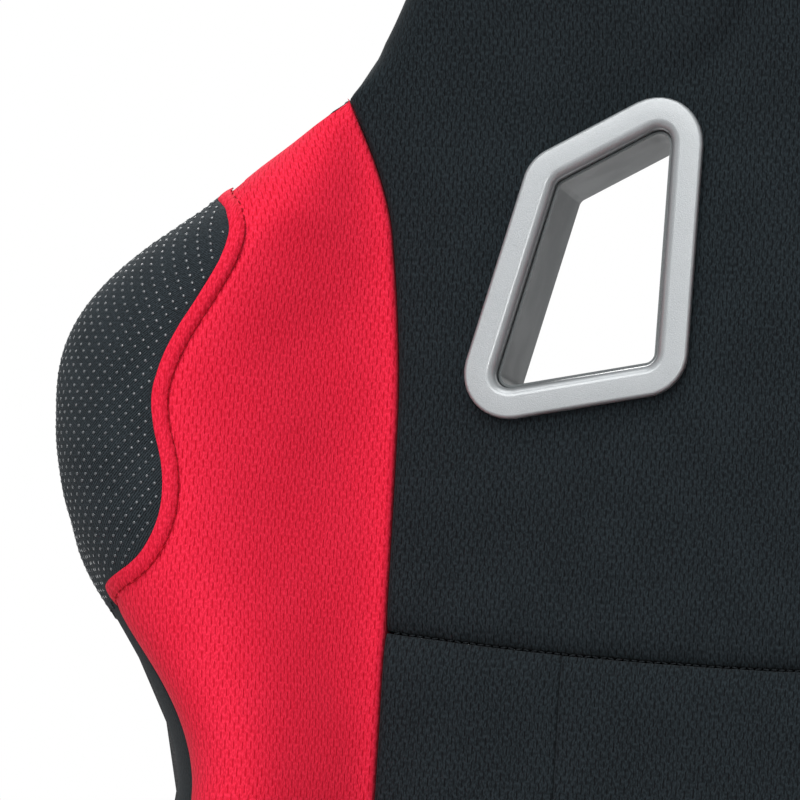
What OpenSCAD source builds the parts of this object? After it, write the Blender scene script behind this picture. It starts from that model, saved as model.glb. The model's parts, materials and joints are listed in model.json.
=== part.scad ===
// Reclining racing seat with harness slots, on slide rails.
// Millimetres. The seat faces -Y, +Z is up. The origin lies on the floor plane,
// at the centre of the four floor bolts.

/* [Backrest] */
// Angle of the backrest behind the vertical
recline = 15; // [13:0.5:17]
// Width across the shoulder wings
shoulder_w = 556; // [540:1:566]
// Height of the widest shoulder point above the recliner axis
shoulder_h = 432; // [426:1:438]
// Width at the waist, between the shoulder and lumbar wings
waist_w = 470; // [458:1:482]
// Height of the waist above the recliner axis
waist_h = 292; // [280:1:304]
// Width across the lumbar wings
lumbar_w = 526; // [516:1:536]
// Width of the neck, where the shoulder line meets the head
neck_w = 366; // [358:1:370]
// Width of the head part
head_w = 274; // [262:1:284]
// Height of the top of the head above the recliner axis
back_h = 745; // [735:1:765]
// Half the width of the middle panel, from the centre to the wing seam
panel_half_w = 152.6; // [150:0.2:154]
// Rise of the shoulder wing's crest above the middle panel
shoulder_rise = 60; // [50:1:66]
// Rise of the lumbar wing's crest above the middle panel
lumbar_rise = 58; // [48:1:60]
// Thickness of the rear cover
cover_t = 3; // [2.5:0.1:3.4]

/* [Harness slots] */
// Radius of the bezel's outer corners
bezel_r = 17; // [16.2:0.1:18]
// Width of the bezel's face, from its outer edge to the throat
bezel_face = 11.7; // [11.2:0.1:12.3]
// Height of the bezel above the padding
bezel_proud = 3.7; // [3:0.1:4.5]
// Radius of the rolled edge into the throat
bezel_roll = 4.5; // [3.5:0.1:5]
// Wall of the rear bezel's sleeve
sleeve_t = 1.2; // [1:0.1:1.6]

/* [Cushion] */
// Width of the cushion over its side skirts
cushion_w = 500; // [496:1:502]
// Length of the cushion from its front to its rear edge
cushion_l = 440; // [430:1:445]
// Half the width of the middle panel of the cushion
cushion_panel_half_w = 148; // [140:1:154]
// Height of the seating surface above the floor, at its middle
seat_h = 212; // [206:1:216]
// Rise of the side bolsters above the seating surface
bolster_rise = 48; // [40:1:52]

/* [Frame] */
// Distance between the two rails, centre to centre
rail_spacing = 410; // [406:1:412]
// Length of the rails
rail_l = 380; // [372:1:400]
// Travel of the seat to each side of the middle of its slide
slide_travel = 100; // [60:5:100]
// Height of the recliner axis above the floor
pivot_z = 153; // [151:1:156]
// Distance of the recliner axis behind the bolt centre
pivot_y = 160; // [158:1:164]
// Diameter of the backrest's frame tube
back_tube_d = 19; // [16:1:20]
// Diameter of the cushion's cross tubes
base_tube_d = 22; // [18:1:23]
// Diameter of the recliner discs
recliner_d = 72; // [64:1:74]
// Diameter of the release rod through both recliners
rod_d = 10; // [8:0.5:11]
// Diameter of the spring wire
wire_d = 3.2; // [2.6:0.1:3.6]

/* [Floor mounting] */
// Bolt spacing across the seat
bolt_x = 340; // [330:1:344]
// Bolt spacing along the seat
bolt_y = 330; // [300:1:340]
// Diameter of the bolt holes
bolt_hole_d = 8.5; // [6.5:0.5:10.5]
// Thickness of the mounting feet
foot_t = 3; // [3:0.5:5]

/* [Hidden] */

// ---- clearances and shared places -------------------------------------------------
fit = 0.3;              // gap between pieces that touch or seat
ball_gap = 0.05;        // running gap of the rail balls
shaft_gap = 0.1;        // running gap of the release rod
pad_back = 8;           // rear plane of the back's padding, forward of the recliner axis
pad_flat = 36;          // front plane of the padding round the slots
cover_inner = -14;      // inner face of the rear cover's back
cover_lip = 12;         // front edge of the rear cover's side walls
cover_foot = 45;        // lower edge of the rear cover and the wings
pad_foot = -10;         // lower edge of the lumbar padding
cover_outer = cover_inner - cover_t;
seam_v = 346.7;         // lumbar seam, at the centre
seam_sag = 8.2;         // how much higher the lumbar seam is at the wings
head_seam_v = 612;      // seam below the head pad
lumbar_split = 85;      // half width of the lumbar centre pad
seam_dip = 5;           // how far a sewn edge is drawn in
seam_soft = 20;         // how far that dip reaches into the pad
hair = 0.1;             // how much thinner a tube's straight runs are than its bends

// Cubic Hermite curve through stations of [position, value, slope].
function span(st, s, i = 0) = (i >= len(st) - 2 || s <= st[i + 1][0]) ? i : span(st, s, i + 1);
function blend(a, b, s) =
    let (l = b[0] - a[0], t = max(0, min(1, (s - a[0]) / l)), t2 = t * t, t3 = t2 * t)
    (2 * t3 - 3 * t2 + 1) * a[1] + (3 * t2 - 2 * t3) * b[1]
        + l * ((t3 - 2 * t2 + t) * a[2] + (t3 - t2) * b[2]);
function curve(st, s) = let (i = span(st, s)) blend(st[i], st[i + 1], s);

// ---- the backrest's form, in its own frame: x across, n forward, v up its length ---
// Each line below holds stations of [height, value, slope].
head_round = 55;
outline = [
    [cover_foot, 212, 0.2], [78, 232, 0.85], [112, 252, 0.4], [165, lumbar_w / 2, 0],
    [waist_h, waist_w / 2, 0], [shoulder_h - 87, shoulder_w / 2 - 23.8, 0.62],
    [shoulder_h - 64, shoulder_w / 2 - 9.5, 0.55], [shoulder_h - 37, shoulder_w / 2 - 1, 0.12],
    [shoulder_h, shoulder_w / 2, 0], [shoulder_h + 38, shoulder_w / 2 - 9.4, -0.68],
    [shoulder_h + 73, shoulder_w / 2 - 44.2, -1.22], [556, neck_w / 2, -0.82],
    [600, neck_w / 2 - 24.4, -0.42], [back_h - head_round, head_w / 2, -0.12],
];
function half_w(v) = v <= back_h - head_round ? curve(outline, v)
    : head_w / 2 - head_round + head_round * sqrt(max(0, 1 - pow((v - back_h + head_round) / head_round, 2)));
seam_line = [
    [cover_foot, panel_half_w + 4, 0], [waist_h, panel_half_w, 0], [shoulder_h, panel_half_w, 0],
    [503, panel_half_w + 5.4, 0.13], [556, neck_w / 2 - 5.5, 0.5],
];
function seam_x(v) = v > 556 ? half_w(v) - cover_t - 1.5 : min(curve(seam_line, v), half_w(v) - 5);
middle_n = [
    [pad_foot, 40, 0.1], [150, 54, 0], [300, 44, -0.09], [425, pad_flat, 0], [530, pad_flat, 0],
    [600, pad_flat + 8, 0.24], [back_h - 75, pad_flat + 17, 0.02], [back_h, pad_flat - 6, -0.6],
];
function front_n(v) = curve(middle_n, v);
wing_rise = [
    [cover_foot, 14, 0.4], [100, 46, 0.5], [165, lumbar_rise, 0], [waist_h, 46, 0],
    [shoulder_h, shoulder_rise, 0], [505, shoulder_rise - 18, -0.7], [556, 3, -0.5],
];
function rise(v) = curve(wing_rise, v);
patch_t = 2.5;
over_patch = patch_t + fit;
// How far the rear cover's edge stands out beyond the side of the wing, up the back.
side_strip = [
    [cover_foot, 6, 0.06], [165, 14, 0.04], [waist_h, 18.5, 0], [345, 13.8, -0.09], [374, 12.8, -0.05],
    [403, 6.9, -0.2], [425, over_patch + 0.4, -0.03], [455, over_patch + 0.3, 0],
    [487, over_patch + 0.7, 0.03], [507, over_patch + 1.5, 0],
    [516, 1.6, 0], [530, 1.9, 0.1], [556, 5.8, 0.2],
];
function wing_out(v) = half_w(v) - curve(side_strip, v);

// Places a shape drawn with x across, y forward of the recliner axis and z up the back.
module on_back() {
    translate([0, pivot_y, pivot_z]) rotate([-recline, 0, 0]) children();
}
// Turns a flat drawing of the backrest's front, with its height forward, into place.
module facing() { rotate([90, 0, 0]) children(); }
module side(s) { if (s < 0) mirror([1, 0, 0]) children(); else children(); }

// A closed solid through rings of points, each anticlockwise seen from the last ring's side.
// Every ring has the same even number of points.
module skin(rings) {
    m = len(rings[0]);
    k = len(rings);
    walls = [for (j = [0:k - 2]) for (i = [0:m - 1]) let (a = j * m + i, b = j * m + (i + 1) % m)
        each [[a, b + m, b], [a, a + m, b + m]]];
    h = m / 2;
    caps = [for (i = [0:h - 2]) each [
        [i, i + 1, m - 1 - i], [i + 1, m - 2 - i, m - 1 - i],
        [(k - 1) * m + i, (k - 1) * m + m - 1 - i, (k - 1) * m + i + 1],
        [(k - 1) * m + i + 1, (k - 1) * m + m - 1 - i, (k - 1) * m + m - 2 - i],
    ]];
    polyhedron(points = [for (r = rings) each r], faces = concat(walls, caps), convexity = 8);
}
function dip(e) = e > seam_soft ? 0 : seam_dip * pow(1 - e / seam_soft, 3);
// Shares across and along a pad, close together near its sewn edges.
shares = [0, 0.03, 0.12, 0.3, 0.5, 0.7, 0.88, 0.97, 1];
few_shares = [0, 0.06, 0.25, 0.5, 0.75, 0.94, 1];

// One sewn pad of the backrest, between x = left(v) and right(v), from v0 to v1.
// sag lifts the rim that lies on the lumbar seam: 1 at the top, 0 at the bottom, -1 for none.
module back_pad(v0, v1, left, right, rows, cols, crown = 3, sag = -1, lower = pad_back) {
    skin([for (r = rows) let (v = v0 + (v1 - v0) * r)
        let (a = left(v), b = right(v), lift = sag < 0 ? 0 : pow(1 - abs(r - sag), 3))
        concat(
            [for (c = cols) let (x = a + (b - a) * c, w = v + lift * seam_sag * pow(x / panel_half_w, 2))
                [x, -(front_n(v) + crown * 16 * c * (1 - c) * r * (1 - r)
                    - dip(c * (b - a)) - dip((1 - c) * (b - a))
                    - dip(r * (v1 - v0)) - dip((1 - r) * (v1 - v0))), w]],
            [for (i = [len(cols) - 1:-1:0]) let (x = a + (b - a) * cols[i],
                w = v + lift * seam_sag * pow(x / panel_half_w, 2)) [x, -lower, w]]
        )]);
}

// ---- harness slot outline ----------------------------------------------------------
// Corners of the bezel's outer edge on the +x side, anticlockwise seen from the front.
slot = [[43.5, 449], [133.5, 431], [106, 534], [40, 571]];
function unit(a) = a / norm(a);
function inward(a, b) = let (d = unit(b - a)) [-d[1], d[0]];
function corner_centre(k) =
    let (p = slot[k], q = slot[(k + 3) % 4], r = slot[(k + 1) % 4], a = inward(q, p), b = inward(p, r))
    p + (a + b) * bezel_r / (1 + a * b);
function heading(d) = atan2(d[1], d[0]);

// Points round the slot's outline, moved in by a distance, with arcs at the corners.
slot_steps = 6;
function slot_ring(inset) = [for (k = [0:3])
    let (c = corner_centre(k), a = inward(slot[(k + 3) % 4], slot[k]), b = inward(slot[k], slot[(k + 1) % 4]))
    each [for (i = [0:slot_steps]) let (t = heading(-a) + acos(a * b) * i / slot_steps)
        c + (bezel_r - inset) * [cos(t), sin(t)]]];
// Sweeps a closed section of [distance in from the outer edge, height] round the slot.
module slot_sweep(section) {
    m = 4 * (slot_steps + 1);
    k = len(section);
    polyhedron(
        points = [for (p = section) each [for (q = slot_ring(p[0])) [q[0], q[1], p[1]]]],
        faces = [for (j = [0:k - 1]) for (i = [0:m - 1])
            let (a = j * m + i, b = j * m + (i + 1) % m, c = (j + 1) % k * m)
            each [[a, c + (i + 1) % m, b], [a, c + i, c + (i + 1) % m]]],
        convexity = 6);
}
module slot_cut(inset, from = cover_outer - 5) {
    for (s = [-1, 1]) side(s) facing()
        translate([0, 0, from]) linear_extrude(pad_flat + 20 - from) polygon(slot_ring(inset));
}
throat_wall = 2.3;
hole_inset = bezel_face - throat_wall - fit;
bezel_face_n = pad_flat + fit + bezel_proud;
throat_end = 24;

// ---- backrest padding --------------------------------------------------------------
upper_rows = [0, 0.03, 0.1, 0.2, 0.3, 0.38, 0.46, 0.55, 0.65, 0.74, 0.79, 0.84, 0.9, 0.97, 1];
upper_cols = [0, 0.02, 0.07, 0.2, 0.5, 0.8, 0.93, 0.98, 1];
module upper_back_pad() {
    color([0.09, 0.11, 0.12]) on_back() difference() {
        back_pad(seam_v + fit, head_seam_v - fit,
            function(v) -seam_x(v) + fit, function(v) seam_x(v) - fit,
            upper_rows, upper_cols, crown = 0, sag = 0);
        slot_cut(hole_inset);
        slot_cut(-fit, pad_flat);
    }
}
head_rows = [0, 0.06, 0.25, 0.45, 0.6, 0.72, 0.82, 0.9, 0.96, 1];
module head_pad() {
    color([0.09, 0.11, 0.12]) on_back()
        back_pad(head_seam_v, back_h - cover_t - 0.5,
            function(v) -seam_x(v) + fit, function(v) seam_x(v) - fit, head_rows, shares, crown = 6);
}
lumbar_rows = [0, 0.02, 0.08, 0.2, 0.35, 0.5, 0.65, 0.8, 0.92, 0.98, 1];
module lumbar_pad() {
    color([0.10, 0.12, 0.13]) on_back()
        back_pad(pad_foot, seam_v, function(v) -lumbar_split, function(v) lumbar_split,
            lumbar_rows, shares, crown = 4, sag = 1);
}
module lumbar_side_pad(s) {
    color([0.09, 0.11, 0.12]) on_back() side(s)
        back_pad(pad_foot, seam_v,
            function(v) lumbar_split + fit, function(v) min(seam_x(v), panel_half_w + 4) - fit,
            lumbar_rows, few_shares, crown = 3, sag = 1);
}

// Heights of the sections that the wings and the rear cover share.
wing_rows = [cover_foot, 52, 66, 84, 108, 135, 165, 200, 235, 265, 292, 318, 342, 366, 390, 412, 432,
    452, 472, 492, 510, 526, 540, 550];
// A point of a wing's skin in its section at v, raised by grow. q runs from -1 at the seam
// with the middle panel, through 0 on the crest, to 1 at the side.
crest_share = 0.66;
function wing_point(v, q, grow) =
    let (a = seam_x(v) + fit, b = wing_out(v), c = a + crest_share * (b - a), n = front_n(v), h = rise(v))
    q < 0 ? let (s = 1 + q)
        [a + (c - a) * s, n + grow - dip(s * (c - a)) + h * (0.5 - 0.5 * cos(180 * pow(s, 0.85)))]
    : [c + (b + grow - c) * sin(90 * q), n + h + grow - (h * 0.65 + grow) * (1 - cos(90 * q))];
// The front of a wing's section, and its side down to the rear cover.
function wing_front(v) = let (edge = half_w(v) - cover_t - 1) concat(
    [for (i = [-6:5]) wing_point(v, i < 0 ? i / 6 : i / 5, 0)], [[edge, cover_lip], [edge, pad_back + 1]]);
module back_wing(s) {
    color([0.82, 0.11, 0.20]) on_back() side(s)
        skin([for (v = wing_rows) let (f = wing_front(v), m = len(f))
            concat([for (p = f) [p[0], -p[1], v]],
                [for (i = [m - 1:-1:0]) [f[0][0] + (f[m - 1][0] - f[0][0]) * i / (m - 1), -pad_back, v]])]);
}
// Inner edge of the shoulder patch: places from the widest shoulder point, up and across.
patch_line = [
    [-63, -32, -1], [-49, -46, -0.9], [-28, -49.4, 0.05], [4, -43.6, 0], [36, -55.4, -0.6], [66, -69, 0.1],
    [79, -65, 0.5],
];
patch_edge = [for (p = patch_line) [shoulder_h + p[0], shoulder_w / 2 + p[1], p[2]]];
patch_rows = [for (v = [-63, -58, -49, -39, -28, -12, 4, 20, 36, 51, 66, 74, 79]) shoulder_h + v];
function patch_start(v) =
    let (a = seam_x(v) + fit, b = wing_out(v), c = a + crest_share * (b - a), x = curve(patch_edge, v))
    x < c ? (x - c) / (c - a) : asin(min(0.98, (x - c) / (b - c))) / 90;
// The patch's skin across its section at v, from its inner edge to the side of the wing.
function patch_skin(v, grow) = let (q = patch_start(v))
    [for (i = [0:7]) let (p = wing_point(v, q + (1 - q) * i / 7, grow)) [p[0], -p[1], v]];
// Wear patch over the crest of the shoulder wing.
module shoulder_patch(s) {
    color([0.08, 0.10, 0.11]) on_back() side(s)
        skin([for (v = patch_rows) let (under = patch_skin(v, 2 * fit))
            concat(patch_skin(v, fit + patch_t), [for (i = [7:-1:0]) under[i]])]);
}

// ---- rear cover --------------------------------------------------------------------
function cover_ring(v, inset, lip) = let (b = half_w(v) - inset, n = cover_outer + inset)
    let (across = [[b, lip], [b, n + 16], [b - 5, n + 7], [b - 18, n + 1.5], [b / 2, n], [0, n]])
    concat([for (p = across) [p[0], -p[1], v]],
        [for (i = [4:-1:0]) [-across[i][0], -across[i][1], v]], [[0, -lip, v]]);
cover_rows = concat(wing_rows, [560, 580, 612, 650, 690, 712, 728, 738]);
module rear_cover() {
    color([0.07, 0.08, 0.09]) on_back() difference() {
        skin([for (v = concat(cover_rows, [back_h])) cover_ring(v, 0, cover_lip)]);
        skin([for (v = concat([cover_foot - 5], cover_rows, [back_h - cover_t]))
            cover_ring(v, cover_t, cover_lip + 5)]);
        slot_cut(hole_inset);
    }
}

// ---- bezels ------------------------------------------------------------------------
function arc(cx, cy, r, a0, a1, k) =
    [for (i = [0:k]) let (a = a0 + (a1 - a0) * i / k) [cx + r * cos(a), cy + r * sin(a)]];
module front_bezel(s) {
    low = pad_flat + fit;
    color([0.82, 0.84, 0.85]) on_back() side(s) facing()
        slot_sweep(concat(
            [[0, low]], arc(2, bezel_face_n - 2, 2, 180, 90, 3),
            arc(bezel_face - bezel_roll, bezel_face_n - bezel_roll, bezel_roll, 90, 0, 4),
            [[bezel_face, throat_end], [bezel_face - throat_wall, throat_end],
             [bezel_face - throat_wall, low]]));
}
module rear_bezel(s) {
    inner = bezel_face + 0.2;
    rear = cover_outer - fit;
    color([0.80, 0.82, 0.83]) on_back() side(s) facing()
        slot_sweep(concat(
            [[0, rear], [inner, rear], [inner, bezel_face_n - bezel_roll - 2.5],
             [inner + sleeve_t, bezel_face_n - bezel_roll - 2.5]],
            arc(inner + sleeve_t - 2.5, rear - 0.5, 2.5, 0, -90, 3),
            arc(2, rear - 1, 2, -90, -180, 3)));
}

// ---- tubes and springs -------------------------------------------------------------
// A tube along flat points in the XY plane, with one bend radius.
function turn(a, b, c) = let (d = unit(b - a), e = unit(c - b)) atan2(d[0] * e[1] - d[1] * e[0], d * e);
module bent_tube(pts, d, bend) {
    k = len(pts);
    reach = 0.5;
    cut = [for (i = [0:k - 1]) i == 0 || i == k - 1 ? 0
        : bend * abs(tan(turn(pts[i - 1], pts[i], pts[i + 1]) / 2))];
    for (i = [0:k - 2]) {
        u = unit(pts[i + 1] - pts[i]);
        from = pts[i] + u * (cut[i] - (i == 0 ? 0 : reach));
        l = norm(pts[i + 1] - pts[i]) - cut[i] - cut[i + 1]
            + (i == 0 ? 0 : reach) + (i == k - 2 ? 0 : reach);
        translate([from[0], from[1], 0]) rotate([0, 90, heading(u)])
            cylinder(d = d - 2 * hair, h = l, $fn = 32);
    }
    for (i = [1:k - 2]) {
        t = turn(pts[i - 1], pts[i], pts[i + 1]);
        u = unit(pts[i] - pts[i - 1]);
        start = pts[i] - u * cut[i];
        left = [-u[1], u[0]] * (t > 0 ? 1 : -1);
        c = start + left * bend;
        translate([c[0], c[1], 0]) rotate(heading(-left) + min(0, t))
            rotate_extrude(angle = abs(t), $fn = 96) translate([bend, 0]) circle(d = d, $fn = 32);
    }
}
// A zigzag spring wire along x, of loops crossings, amp to each side.
module zigzag(loops, pitch, amp, d) {
    r = pitch / 2;
    for (i = [0:loops]) translate([i * pitch, -amp + r, 0]) rotate([-90, 0, 0])
        cylinder(d = d, h = 2 * (amp - r), $fn = 16);
    for (i = [0:loops - 1]) translate([i * pitch + r, (i % 2 == 0 ? 1 : -1) * (amp - r), 0])
        rotate(i % 2 == 0 ? 0 : 180) rotate_extrude(angle = 180, $fn = 32)
            translate([r, 0]) circle(d = d, $fn = 16);
}

// ---- backrest frame ----------------------------------------------------------------
tube_n = pad_back - fit - back_tube_d / 2;
hoop_x = 188.5;
hoop = [[hoop_x, rod_d / 2 + 4], [hoop_x, 405], [134, 560], [104, 712]];
module back_hoop() {
    color([0.13, 0.13, 0.14]) on_back() facing() translate([0, 0, tube_n])
        bent_tube(concat(hoop, [for (i = [3:-1:0]) [-hoop[i][0], hoop[i][1]]]), back_tube_d, 32);
}
member_x = hoop_x - back_tube_d / 2;
module back_cross_members() {
    color([0.13, 0.13, 0.14]) on_back() facing() translate([0, 0, tube_n])
        for (v = [cover_foot + 25, shoulder_h - 44]) translate([-member_x, v, 0]) rotate([0, 90, 0])
            cylinder(d = 14, h = 2 * member_x, $fn = 32);
}
back_spring_v = [150, 215, 280, 345];
module back_springs() {
    r = 9;
    wire_n = pad_back - fit - wire_d / 2;
    tube_side = hoop_x - sqrt(pow(back_tube_d / 2, 2) - pow(wire_n - wire_d / 2 - tube_n, 2)) - fit;
    crossings = 2 * floor((member_x - 8) / r / 2);
    color([0.45, 0.46, 0.48]) on_back() facing() translate([0, 0, wire_n])
        for (v = back_spring_v) {
            translate([-crossings * r, v, 0]) zigzag(crossings, 2 * r, 20, wire_d);
            for (s = [-1, 1]) translate([s * crossings * r, v - 8, 0]) rotate([0, s * 90, 0])
                cylinder(d = wire_d, h = tube_side - crossings * r, $fn = 16);
        }
}

// ---- recliners ---------------------------------------------------------------------
back_plate_x = hoop_x + back_tube_d / 2 + fit;
back_plate_t = 4;
back_plate_w = 13;
gear_x = back_plate_x + back_plate_t;
gear_t = 5.5;
housing_x = gear_x + gear_t + fit;
housing_t = 6;
seat_plate_x = housing_x + housing_t;
seat_plate_t = 3.5;
side_inner_x = seat_plate_x + seat_plate_t + 4.4;
side_outer_x = cushion_w / 2 - 4;
lever_x = cushion_w / 2 + 2;
lever_t = 6;
// Draws a plate in the y-z plane and gives it a thickness along +x.
module plate(x, t) { translate([x, 0, 0]) rotate([90, 0, 90]) linear_extrude(t) children(); }
module rod_hole() { circle(d = rod_d + 2 * shaft_gap, $fn = 48); }

module recliner_gear(s) {
    color([0.55, 0.56, 0.58]) on_back() side(s) difference() {
        union() {
            plate(gear_x, gear_t) circle(d = recliner_d - 8, $fn = 96);
            plate(gear_x, 2.5) circle(d = recliner_d, $fn = 96);
        }
        plate(gear_x - 1, gear_t + 2) rod_hole();
    }
}
module back_bracket(s) {
    color([0.13, 0.13, 0.14]) on_back() side(s) plate(back_plate_x, back_plate_t) difference() {
        union() {
            circle(d = recliner_d + 2, $fn = 96);
            translate([-pad_back + fit, 0]) square([back_plate_w, 132]);
        }
        rod_hole();
    }
}
module recliner_housing(s) {
    color([0.50, 0.51, 0.53]) translate([0, pivot_y, pivot_z]) side(s) difference() {
        union() {
            plate(housing_x, housing_t) circle(d = recliner_d, $fn = 96);
            for (a = [0:60:300]) plate(seat_plate_x, seat_plate_t + 0.5)
                translate([26 * cos(a), 26 * sin(a)]) circle(d = 7, $fn = 32);
        }
        plate(housing_x - 1, housing_t + 8) rod_hole();
    }
}
module release_rod() {
    color([0.6, 0.6, 0.62]) translate([-lever_x, pivot_y, pivot_z]) rotate([0, 90, 0])
        cylinder(d = rod_d, h = 2 * lever_x, $fn = 48);
}
lever_l = 118;
module recliner_lever(s) {
    color([0.06, 0.06, 0.07]) translate([0, pivot_y, pivot_z]) side(s) union() {
        plate(lever_x, lever_t) circle(d = 30, $fn = 64);
        plate(lever_x, lever_t) rotate(6) translate([-lever_l, 0]) union() {
            translate([0, -9]) square([lever_l, 18]);
            circle(r = 9, $fn = 48);
            translate([34, 0]) circle(r = 11, $fn = 48);
        }
        plate(side_outer_x + 0.5, lever_x - side_outer_x - 0.5) difference() {
            circle(d = 22, $fn = 48);
            circle(d = rod_d + 0.02, $fn = 48);
        }
    }
}

// ---- cushion -----------------------------------------------------------------------
cushion_front = 102 - cushion_l;
cushion_rear = 102;
pad_floor = 104;
skirt_t = 3.5;
skirt_top = 142;
skirt_rear = 95;
cushion_seam = -150;
inside_x = cushion_w / 2 - skirt_t - fit;
inside_front = cushion_front + skirt_t + fit;
top_line = [
    [inside_front, seat_h - 24, 2.2], [inside_front + 22, seat_h + 14, 0.9],
    [inside_front + 60, seat_h + 25, 0.05], [cushion_seam, seat_h + 14, -0.12], [0, seat_h - 4, -0.1],
    [70, seat_h - 13, -0.2], [cushion_rear, seat_h - 26, -0.9],
];
function top_z(y) = curve(top_line, y);
bolster_line = [
    [inside_front, 4, 0.3], [-280, bolster_rise - 16, 0.4], [-200, bolster_rise - 2, 0.1],
    [-120, bolster_rise, -0.05], [0, bolster_rise - 20, -0.3], [60, 12, -0.2], [skirt_rear, 3, -0.2],
];
function bolster_z(y) = curve(bolster_line, y);
front_round = 40;
function corner_in(y) = let (e = y - inside_front) e > front_round ? 0
    : front_round - sqrt(front_round * front_round - pow(front_round - e, 2));

module cushion_pad(y0, y1, rows, crown) {
    a = cushion_panel_half_w - fit;
    skin([for (r = rows) let (y = y0 + (y1 - y0) * r)
        concat(
            [for (c = shares) let (x = a * (2 * c - 1))
                [x, y, top_z(y) + crown * 16 * c * (1 - c) * r * (1 - r)
                    - dip(2 * a * c) - dip(2 * a * (1 - c)) - dip((1 - r) * (y1 - y0))
                    - (y0 > inside_front + 1 ? dip(r * (y1 - y0)) : 0)]],
            [for (i = [8:-1:0]) [a * (2 * shares[i] - 1), y, pad_floor]]
        )]);
}
module cushion_seat_pad() {
    color([0.09, 0.11, 0.12])
        cushion_pad(cushion_seam + fit, cushion_rear, [0, 0.03, 0.12, 0.3, 0.5, 0.7, 0.85, 0.94, 1], 5);
}
module cushion_thigh_pad() {
    color([0.09, 0.11, 0.12])
        cushion_pad(inside_front, cushion_seam, [0, 0.04, 0.1, 0.18, 0.32, 0.55, 0.8, 0.95, 1], 4);
}
bolster_rows = [inside_front, inside_front + 4, inside_front + 12, inside_front + 26, -280, -250, -215, -170,
    -120, -70, -25, 15, 50, 75, skirt_rear];
function bolster_ring(y) =
    let (a = cushion_panel_half_w + fit, b = cushion_w / 2 - corner_in(y), c = a + 0.6 * (b - a),
        z = top_z(y), h = bolster_z(y), s = inside_x - corner_in(y), rim = skirt_top + 10)
    concat(
        [for (i = [0:5]) let (t = i / 5)
            [a + (c - a) * t, z - dip(t * (c - a)) + h * (0.5 - 0.5 * cos(180 * t))]],
        [for (i = [1:5]) let (t = i * 18) [c + (b - c) * sin(t), z + h - (z + h - rim) * (1 - cos(t))]],
        [[s, skirt_top + 1], [s, pad_floor + 1]]
    );
module cushion_bolster(s) {
    color([0.82, 0.11, 0.20]) side(s)
        skin([for (y = bolster_rows) let (f = bolster_ring(y), m = len(f))
            concat([for (i = [m - 1:-1:0]) [f[0][0] + (f[m - 1][0] - f[0][0]) * i / (m - 1), y, pad_floor]],
                [for (p = f) [p[0], y, p[1]]])]);
}
module u_plan(inset) {
    w = cushion_w / 2 - inset;
    f = cushion_front + inset;
    r = front_round + skirt_t - inset;
    translate([-w, f + r]) square([2 * w, skirt_rear - f - r]);
    translate([-w + r, f]) square([2 * w - 2 * r, r + 1]);
    for (s = [-1, 1]) translate([s * (w - r), f + r]) circle(r = r, $fn = 96);
}
module cushion_skirt() {
    foot = pad_floor - 6;
    color([0.07, 0.08, 0.09]) translate([0, 0, foot]) linear_extrude(skirt_top - foot) difference() {
        u_plan(0);
        u_plan(skirt_t);
        translate([-inside_x, skirt_rear - 35]) square([2 * inside_x, 60]);
    }
}

// ---- rails -------------------------------------------------------------------------
rail_x = rail_spacing / 2;
rail_z = foot_t;
upper_top = rail_z + 27;
// Pieces on the right and left rail; the drawing is for the +x side with the rail at x = 0.
module on_rail(s) { side(s) translate([rail_x, 0, rail_z]) children(); }
module rail_bar(l, pts) {
    translate([0, l / 2, 0]) rotate([90, 0, 0]) linear_extrude(l)
        polygon(concat(pts, [for (i = [len(pts) - 1:-1:0]) [-pts[i][0], pts[i][1]]]));
}
module lower_rail(s) {
    color([0.42, 0.43, 0.45]) on_rail(s)
        rail_bar(rail_l, [[0, 0], [22, 0], [22, 22], [12.5, 22], [12.5, 14], [15, 14], [15, 19.5],
            [19.5, 19.5], [19.5, 2.5], [0, 2.5]]);
}
rail_bolt_y = [-140, 60];
module upper_rail(s) {
    color([0.35, 0.36, 0.38]) on_rail(s) difference() {
        rail_bar(rail_l, [[0, 27], [11, 27], [11, 10.1], [16, 10.1], [16, 17], [18, 17], [18, 7.6],
            [8.5, 7.6], [8.5, 24.5], [0, 24.5]]);
        for (y = rail_bolt_y) translate([0, y, 20]) cylinder(d = 8.6, h = 10, $fn = 48);
    }
}
ball_d = 5;
ball_z = 2.5 + ball_gap + ball_d / 2;
ball_x = 13;
ball_pitch = 32;
cage_l = 150;
module rail_balls(s) {
    color([0.75, 0.76, 0.78]) on_rail(s) for (t = [-1, 1]) {
        difference() {
            translate([t * ball_x - 3.2, -cage_l / 2, ball_z - 0.8]) cube([6.4, cage_l, 1.6]);
            for (i = [-2:2]) translate([t * ball_x, i * ball_pitch, ball_z - 2])
                cylinder(d = ball_d + 0.3, h = 4, $fn = 32);
        }
        for (i = [-2:2]) translate([t * ball_x, i * ball_pitch, ball_z]) sphere(d = ball_d, $fn = 32);
    }
}
foot_y = bolt_y / 2;
module mount_feet() {
    color([0.30, 0.31, 0.33]) for (s = [-1, 1]) for (t = [-1, 1]) side(s) difference() {
        union() {
            translate([bolt_x / 2, t * foot_y - 19, 0]) cube([rail_x + 22 - bolt_x / 2, 38, foot_t]);
            translate([bolt_x / 2, t * foot_y, 0]) cylinder(r = 19, h = foot_t, $fn = 64);
        }
        translate([bolt_x / 2, t * foot_y, -1]) cylinder(d = bolt_hole_d, h = foot_t + 2, $fn = 48);
    }
}
foot_x = min(rail_x - 11, seat_plate_x - 5);
rack_x = rail_x - 22 - 4;
rack_pitch = 12;
rack_h = 9;
rack_z = rail_z + 4;
rack_teeth = 2 * ceil((slide_travel + 18) / rack_pitch);
rack_l = rack_teeth * rack_pitch;
pawl_foot = rack_z + rack_h + fit;
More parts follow.
